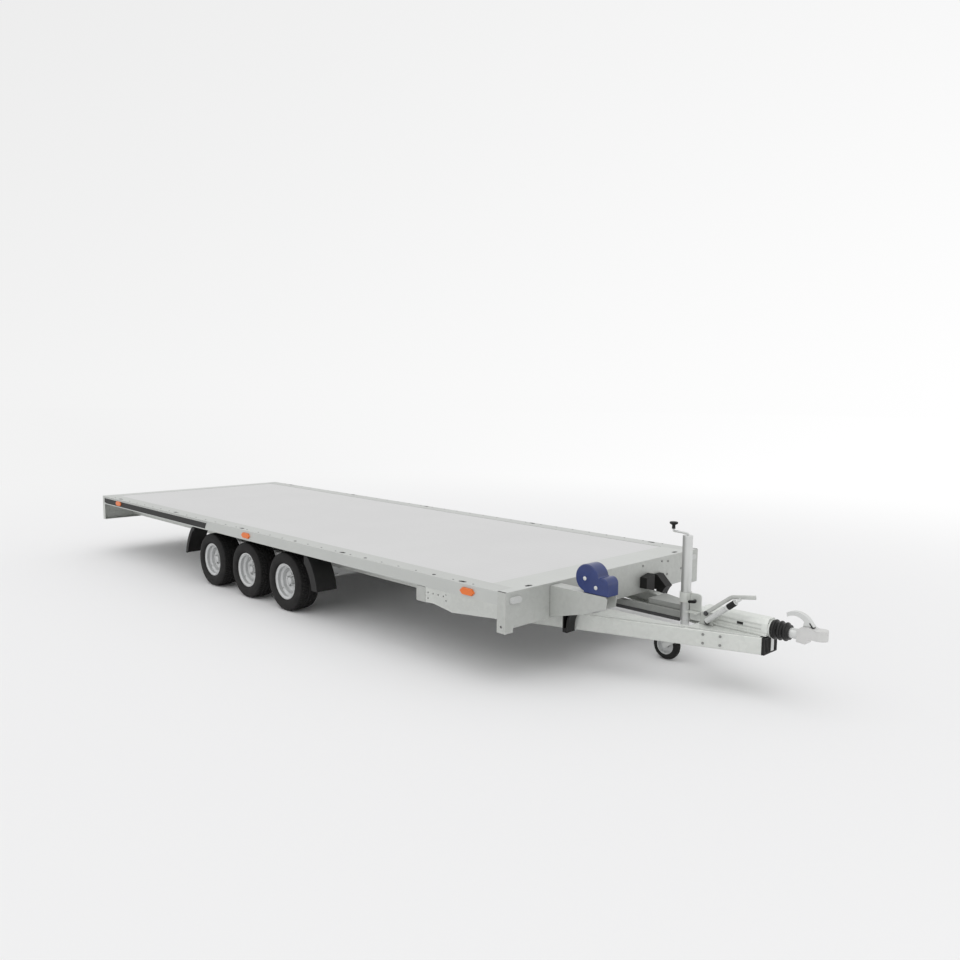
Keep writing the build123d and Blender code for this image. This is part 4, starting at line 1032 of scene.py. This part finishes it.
def addLegBolts():
    # bolts through the drawbar's legs, square to the webs
    bm = bmesh.new()
    lean = math.atan(bolts["legSlope"])
    frontX, frontY = bolts["legFront"]
    for sign in (-1, 1):
        outward = Vector((math.sin(lean), sign * math.cos(lean), 0))
        along = Vector((-math.cos(lean), sign * math.sin(lean), 0))
        corner = Vector((deckFront + frontX, sign * frontY, middleOf("drawbar_leg_left").z))
        for back in bolts["legBacks"]:
            for rise in around(0, bolts["legGap"]):
                spot = corner + along * back + up * rise
                addHexBolt(bm, spot, outward, bolts["legAcross"], bolts["legRise"],
                           roll=back * bolts["legTwist"])
    addPiece("leg_bolts", bm, "zinc", finish=batchAndShadeFinish["drum"])


sheetTrim = {
    "flangeAt": (0.721, 0.811),
    "flangeDrop": (0.003, 0.104),
    "flangeThickness": 0.0006,
    "lampInner": 0.785,
    "lampBackInset": 0.006,
    "lampBackDepth": 0.006,
    "lampBackBevel": 0.002,
    "panelSheet": 0.004,
    "stripOverlap": 0.0005,
    "lipHeight": 0.009,
    "lipThickness": 0.0012,
    "lipInset": 0.03,
    "lipBevel": 0.0004,
    "beadHeight": 0.010,
    "beadThickness": 0.0036,
    "beadBevel": 0.001,
}


def addSheetTrim():
    # flanges at the aprons' tails, covers behind the rear lamps, the side strips' edges
    trim = sheetTrim
    flanges, covers, lips, beads = bmesh.new(), bmesh.new(), bmesh.new(), bmesh.new()
    start, end = trim["flangeAt"]
    top, bottom = trim["flangeDrop"]
    thin = trim["flangeThickness"]
    apronInner = -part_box("apron_right")[0].y
    lampLow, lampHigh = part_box("rear_lamps")
    stripLow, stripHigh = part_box("side_strips")
    inset = trim["lampBackInset"]
    coverBack = lampHigh.x + trim["panelSheet"]
    lipTop, beadTop = (edge + trim["stripOverlap"] for edge in (stripLow.z, stripHigh.z))
    for sign in (-1, 1):
        addPlate(flanges, (
            (deckFront - end, deckFront - start),
            (sign * apronInner, sign * (apronInner + thin)),
            (railLow.z - bottom, railLow.z - top),
        ), thin * thinBevel)
        addPlate(covers, (
            (coverBack, coverBack + trim["lampBackDepth"]),
            (sign * (trim["lampInner"] + inset), sign * (lampHigh.y - inset)),
            (lampLow.z + inset, lampHigh.z - inset),
        ), trim["lampBackBevel"])
        addPlate(lips, (
            (stripLow.x + trim["lipInset"], stripHigh.x - trim["lipInset"]),
            (sign * halfWidth, sign * (halfWidth + trim["lipThickness"])),
            (lipTop - trim["lipHeight"], lipTop),
        ), trim["lipBevel"])
        addPlate(beads, (
            (stripLow.x, stripHigh.x),
            (sign * halfWidth, sign * (halfWidth + trim["beadThickness"])),
            (beadTop - trim["beadHeight"], beadTop),
        ), trim["beadBevel"])
    # the flanges are painted darker, as shade on a recessed step
    addPiece("apron_flanges", flanges, "galvanised", finish=batchAndShadeFinish["flange"])
    addPiece("lamp_backs", covers, "galvanised")
    addPiece("strip_lips", lips, "black_plastic")
    addPiece("strip_beads", beads, "edge_rail", finish=batchAndShadeFinish["sideRail"])


addPanelBolts()
addAxleBolts()
addLegBolts()
addSheetTrim()
print("bolts and sheet trim done")


# brake spring, brake pivots, centre beam and the other small trim of the drawbar

spring = {
    "footBack": 0.070,
    "footDrop": 0.006,
    "slope": (194, 0, 155),
    "capRadius": 0.018,
    "turns": 24,
    "stepsPerTurn": 14,
    "wire": 0.0018,
    "wireSides": 6,
    "radius": 0.0162,
    "start": 0.008,
    "length": 0.158,
    "sleeve": (0.182, 0.242),
    "sleeveRadius": 0.0188,
    "sleeveSink": 0.001,
    "sleeveSides": 28,
    "sleeveRound": (0.001, 0.002),
}


# lower end and lean of the strut between the housing's ear and the lever
foot = Vector((
    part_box("overrun_housing")[0].x + spring["footBack"],
    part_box("brake_spring")[0].y + spring["capRadius"],
    middleOf("coupling_shaft").z - spring["footDrop"],
))
slope = Vector(spring["slope"]).normalized()


def addSpringSleeve():
    start, end = spring["sleeve"]
    outer, inner = spring["sleeveRadius"], spring["capRadius"] - spring["sleeveSink"]
    inward, along = spring["sleeveRound"]
    rings = [(inner, start), (outer - inward, start), (outer, start + along),
             (outer, end - along), (outer - inward, end), (inner, end)]
    bm = bmesh.new()
    addRings(bm, axisFrame(foot, slope), rings, spring["sleeveSides"], closeEnd=False)
    addPiece("brake_spring_sleeve", bm, "black_plastic")


def addSpringCoils():
    level = Vector((0, 1, 0))
    side = slope.cross(level).normalized()
    points = []
    steps = spring["turns"] * spring["stepsPerTurn"]
    for step in range(steps + 1):
        angle = math.tau * spring["turns"] * step / steps
        along = spring["start"] + spring["length"] * step / steps
        ring = side * math.cos(angle) + level * math.sin(angle)
        points.append(foot + slope * along + ring * spring["radius"])
    bm = bmesh.new()
    addTube(bm, points, spring["wire"], spring["wireSides"])
    addPiece("brake_spring_coils", bm, "zinc")


nose = {
    "pivots": ((0.773, 0.443, 0.021), (0.783, 0.392, 0.0238)),
    "pivotRise": 0.012,
    "pivotTwist": 40,
    "pad": ((0.956, 0.996), (-0.0568, -0.0528), (0.40875, 0.42425)),
    "padBevel": 0.0012,
    "strap": ((-0.002, 0.034), (0.270, 0.353)),
    "strapGap": 0.0002,
    "strapThickness": 0.003,
    "strapBevel": 0.001,
    "gripFrom": (1.383, 0.4915),
    "gripTo": (1.405, 0.4625),
    "gripWidth": 0.011,
    "gripProud": 0.002,
    "beam": ((-0.270, 0.420), (0.188, 0.2195), (0.290, 0.333)),
    # duct: a dark strip of painted shade under the centre beam
    "duct": ((-0.270, 0.400), (0.200, 0.2195), (0.262, 0.2902)),
    "beamBevel": 0.003,
    "screws": ((0.272, 0.663), (0.356, 0.618)),
    "screwSides": 20,
    "screwForm": ((0.0125, 0), (0.0125, 0.003), (0.0085, 0.0055), (0.004, 0.0062)),
}


def addNosePlate(name, spans, bevel, slot, finish=None):
    # one flat plate, its length given from the front of the deck
    (back, front), across, height = spans
    bm = bmesh.new()
    addPlate(bm, ((deckFront + back, deckFront + front), across, height), bevel)
    addPiece(name, bm, slot, finish=finish)


def addBrakePivots():
    bm = bmesh.new()
    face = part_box("handbrake_lever")[0].y
    for x, z, across in nose["pivots"]:
        addHexBolt(bm, (deckFront + x, face, z), (0, -1, 0), across, nose["pivotRise"],
                   roll=x * nose["pivotTwist"])
    addPiece("brake_pivots", bm, "zinc", finish=darkFastenerAndShade)


def addTieStrap():
    # flat strap that ties the two legs together at their front ends
    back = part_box("drawbar_plugs")[1].x - deckFront + nose["strapGap"]
    spans = ((back, back + nose["strapThickness"]), *nose["strap"])
    addNosePlate("tie_strap", spans, nose["strapBevel"], "zinc")


def addHandleInsert():
    # dark insert across the coupling's handle
    bm = bmesh.new()
    (startX, startZ), (endX, endZ) = nose["gripFrom"], nose["gripTo"]
    low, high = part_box("coupling_handle")
    length = math.hypot(endX - startX, endZ - startZ)
    tilt = Matrix.Rotation(math.atan2(startZ - endZ, endX - startX), 4, "Y")
    addPlate(bm, (
        around(deckFront + (startX + endX) / 2, length),
        around(0, high.y - low.y + nose["gripProud"]),
        around((startZ + endZ) / 2, nose["gripWidth"]),
    ), nose["gripProud"], turn=tilt)
    addPiece("handle_insert", bm, "black_plastic")


def addWinchScrews():
    bm = bmesh.new()
    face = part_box("winch_cover")[0].y
    for x, z in nose["screws"]:
        addRings(bm, axisFrame((deckFront + x, face, z), (0, -1, 0)), nose["screwForm"],
                 nose["screwSides"])
    addPiece("winch_screws", bm, "zinc")


addSpringSleeve()
addBrakePivots()
addNosePlate("housing_pad", nose["pad"], nose["padBevel"], "black_plastic")
addTieStrap()
# beam along the left gusset's inner lip, in the left gusset's painted-shade tone, with a dark strip
# of painted shade under it
addNosePlate("centre_beam", nose["beam"], nose["beamBevel"], "galvanised",
             batchAndShadeFinish["gusset"])
addNosePlate("beam_shade_strip", nose["duct"], nose["beamBevel"], "zinc", darkFastenerAndShade)
addHandleInsert()
addSpringCoils()
addWinchScrews()
print("small trim done")


# floor, light, backdrop and camera

studio = {
    "floorRadius": 60,
    "floorSides": 96,
    "floorColor": (0.885, 0.885, 0.89),
    "acrossWay": (0.706, 0.709, 0.0),
    "acrossTones": (0.925, 1.04),
    "acrossSpan": 1,
    "heightSpan": 0.4,
    "heightTones": (0.965, 0.905),
    "fadeStart": 3.5,
    "fadeEnd": 11.0,
    "worldLevel": 0.785,
    "sunWay": (0.05, 0.35, -1),
    "sunStrength": 0.66,
    "sunAngle": 80,
}


def makeBackdropGroup():
    # pale backdrop, a little darker to one side and towards the top
    group, start = newGroup("paleBackdrop", [("Direction", "Vector", (0, 0, 0))],
                            [("Color", "Color")])
    unit = vectorNode(group, -3, 0, "NORMALIZE", (start, "Direction"))
    across = vectorNode(group, -2, 0, "DOT_PRODUCT", (unit, 0), studio["acrossWay"])
    parts = place(group, "SeparateXYZ", -2, 1, {0: (unit, 0)})
    sideTone = rangeNode(group, -1, 0, (across, "Value"), *around(0, studio["acrossSpan"]),
                         *studio["acrossTones"], smooth=False)
    heightTone = rangeNode(group, -1, 1, (parts, "Z"), 0, studio["heightSpan"],
                           *studio["heightTones"], smooth=False)
    tone = mathNode(group, 0, 0, "MULTIPLY", (sideTone, "Result"), (heightTone, "Result"))
    grey = place(group, "CombineColor", 1, 0, dict.fromkeys(range(3), (tone, 0)))
    return endGroup(group, {"Color": (grey, 0)})


backdropGroup = makeBackdropGroup()


def buildFloor():
    bm = bmesh.new()
    bmesh.ops.create_circle(bm, cap_ends=True, segments=studio["floorSides"],
                            radius=studio["floorRadius"])
    mesh = bpy.data.meshes.new("studio_floor")
    bm.to_mesh(mesh)
    bm.free()
    material = bpy.data.materials.new("studioFloor")
    tree = emptyTree(material)
    where = place(tree, "NewGeometry", -3, 0)
    reach = vectorNode(tree, -2, 0, "LENGTH", (where, "Position"))
    fade = rangeNode(tree, -1, 0, (reach, "Value"), studio["fadeStart"], studio["fadeEnd"], 0, 1)
    backdrop = useGroup(tree, backdropGroup, -1, 1, {"Direction": (where, "Position")})
    painted = place(tree, "BsdfDiffuse", 1, 0, {"Color": (*studio["floorColor"], 1)})
    glow = place(tree, "Emission", 1, 1, {"Color": (backdrop, "Color")})
    mixed = place(tree, "MixShader", 3, 0, {0: (fade, "Result"), 1: (painted, 0), 2: (glow, 0)})
    place(tree, "OutputMaterial", 4, 0, {"Surface": (mixed, 0)})
    mesh.materials.append(material)
    floor = addObject("studio_floor", mesh)


def buildWorld():
    world = bpy.data.worlds.new("studio")
    bpy.context.scene.world = world
    tree = emptyTree(world)
    lit = place(tree, "Background", 1, 0, {"Color": (1, 1, 1, 1), "Strength": studio["worldLevel"]})
    sky = place(tree, "TexCoord", -2, 2)
    backdrop = useGroup(tree, backdropGroup, -1, 2, {"Direction": (sky, "Generated")})
    seen = place(tree, "Background", 1, 1, {"Color": (backdrop, "Color")})
    rays = place(tree, "LightPath", -2, 0)
    mirrored = mathNode(tree, -1, 0, "MAXIMUM", (rays, "Is Camera Ray"), (rays, "Is Glossy Ray"))
    direct = mathNode(tree, 0, 0, "MAXIMUM", (mirrored, 0), (rays, "Is Transmission Ray"))
    mixed = place(tree, "MixShader", 3, 0, {0: (direct, 0), 1: (lit, 0), 2: (seen, 0)})
    place(tree, "OutputWorld", 4, 0, {"Surface": (mixed, 0)})


def addSoftSun():
    light = bpy.data.lights.new("topSoft", "SUN")
    light.energy = studio["sunStrength"]
    light.angle = math.radians(studio["sunAngle"])
    way = Vector(studio["sunWay"])
    addObject("topSoft", light).rotation_euler = way.to_track_quat("-Z", "Y").to_euler()


view = {
    "position": (5.7402, -4.7415, 1.8091),
    "yaw": 2.3585,
    "pitch": -0.1075,
    "roll": 0.0107,
    "lens": 32.364,
}


def buildCamera():
    # stands off the right front corner, a little above the deck
    camera = bpy.data.cameras.new("studioCamera")
    camera.lens = view["lens"]
    holder = addObject("studioCamera", camera)
    yaw, pitch, roll = view["yaw"], view["pitch"], view["roll"]
    level = Vector((math.cos(yaw), math.sin(yaw), 0))
    forward = level * math.cos(pitch) + up * math.sin(pitch)
    right = forward.cross(up).normalized()
    top = right.cross(forward)
    rolledRight = right * math.cos(roll) + top * math.sin(roll)
    rolledTop = top * math.cos(roll) - right * math.sin(roll)
    turn = Matrix((rolledRight, rolledTop, -forward)).transposed().to_4x4()
    holder.matrix_world = Matrix.Translation(Vector(view["position"])) @ turn
    bpy.context.scene.camera = holder


buildFloor()
buildWorld()
addSoftSun()
buildCamera()
bpy.context.scene.view_settings.view_transform = "Standard"
print("studio ready")
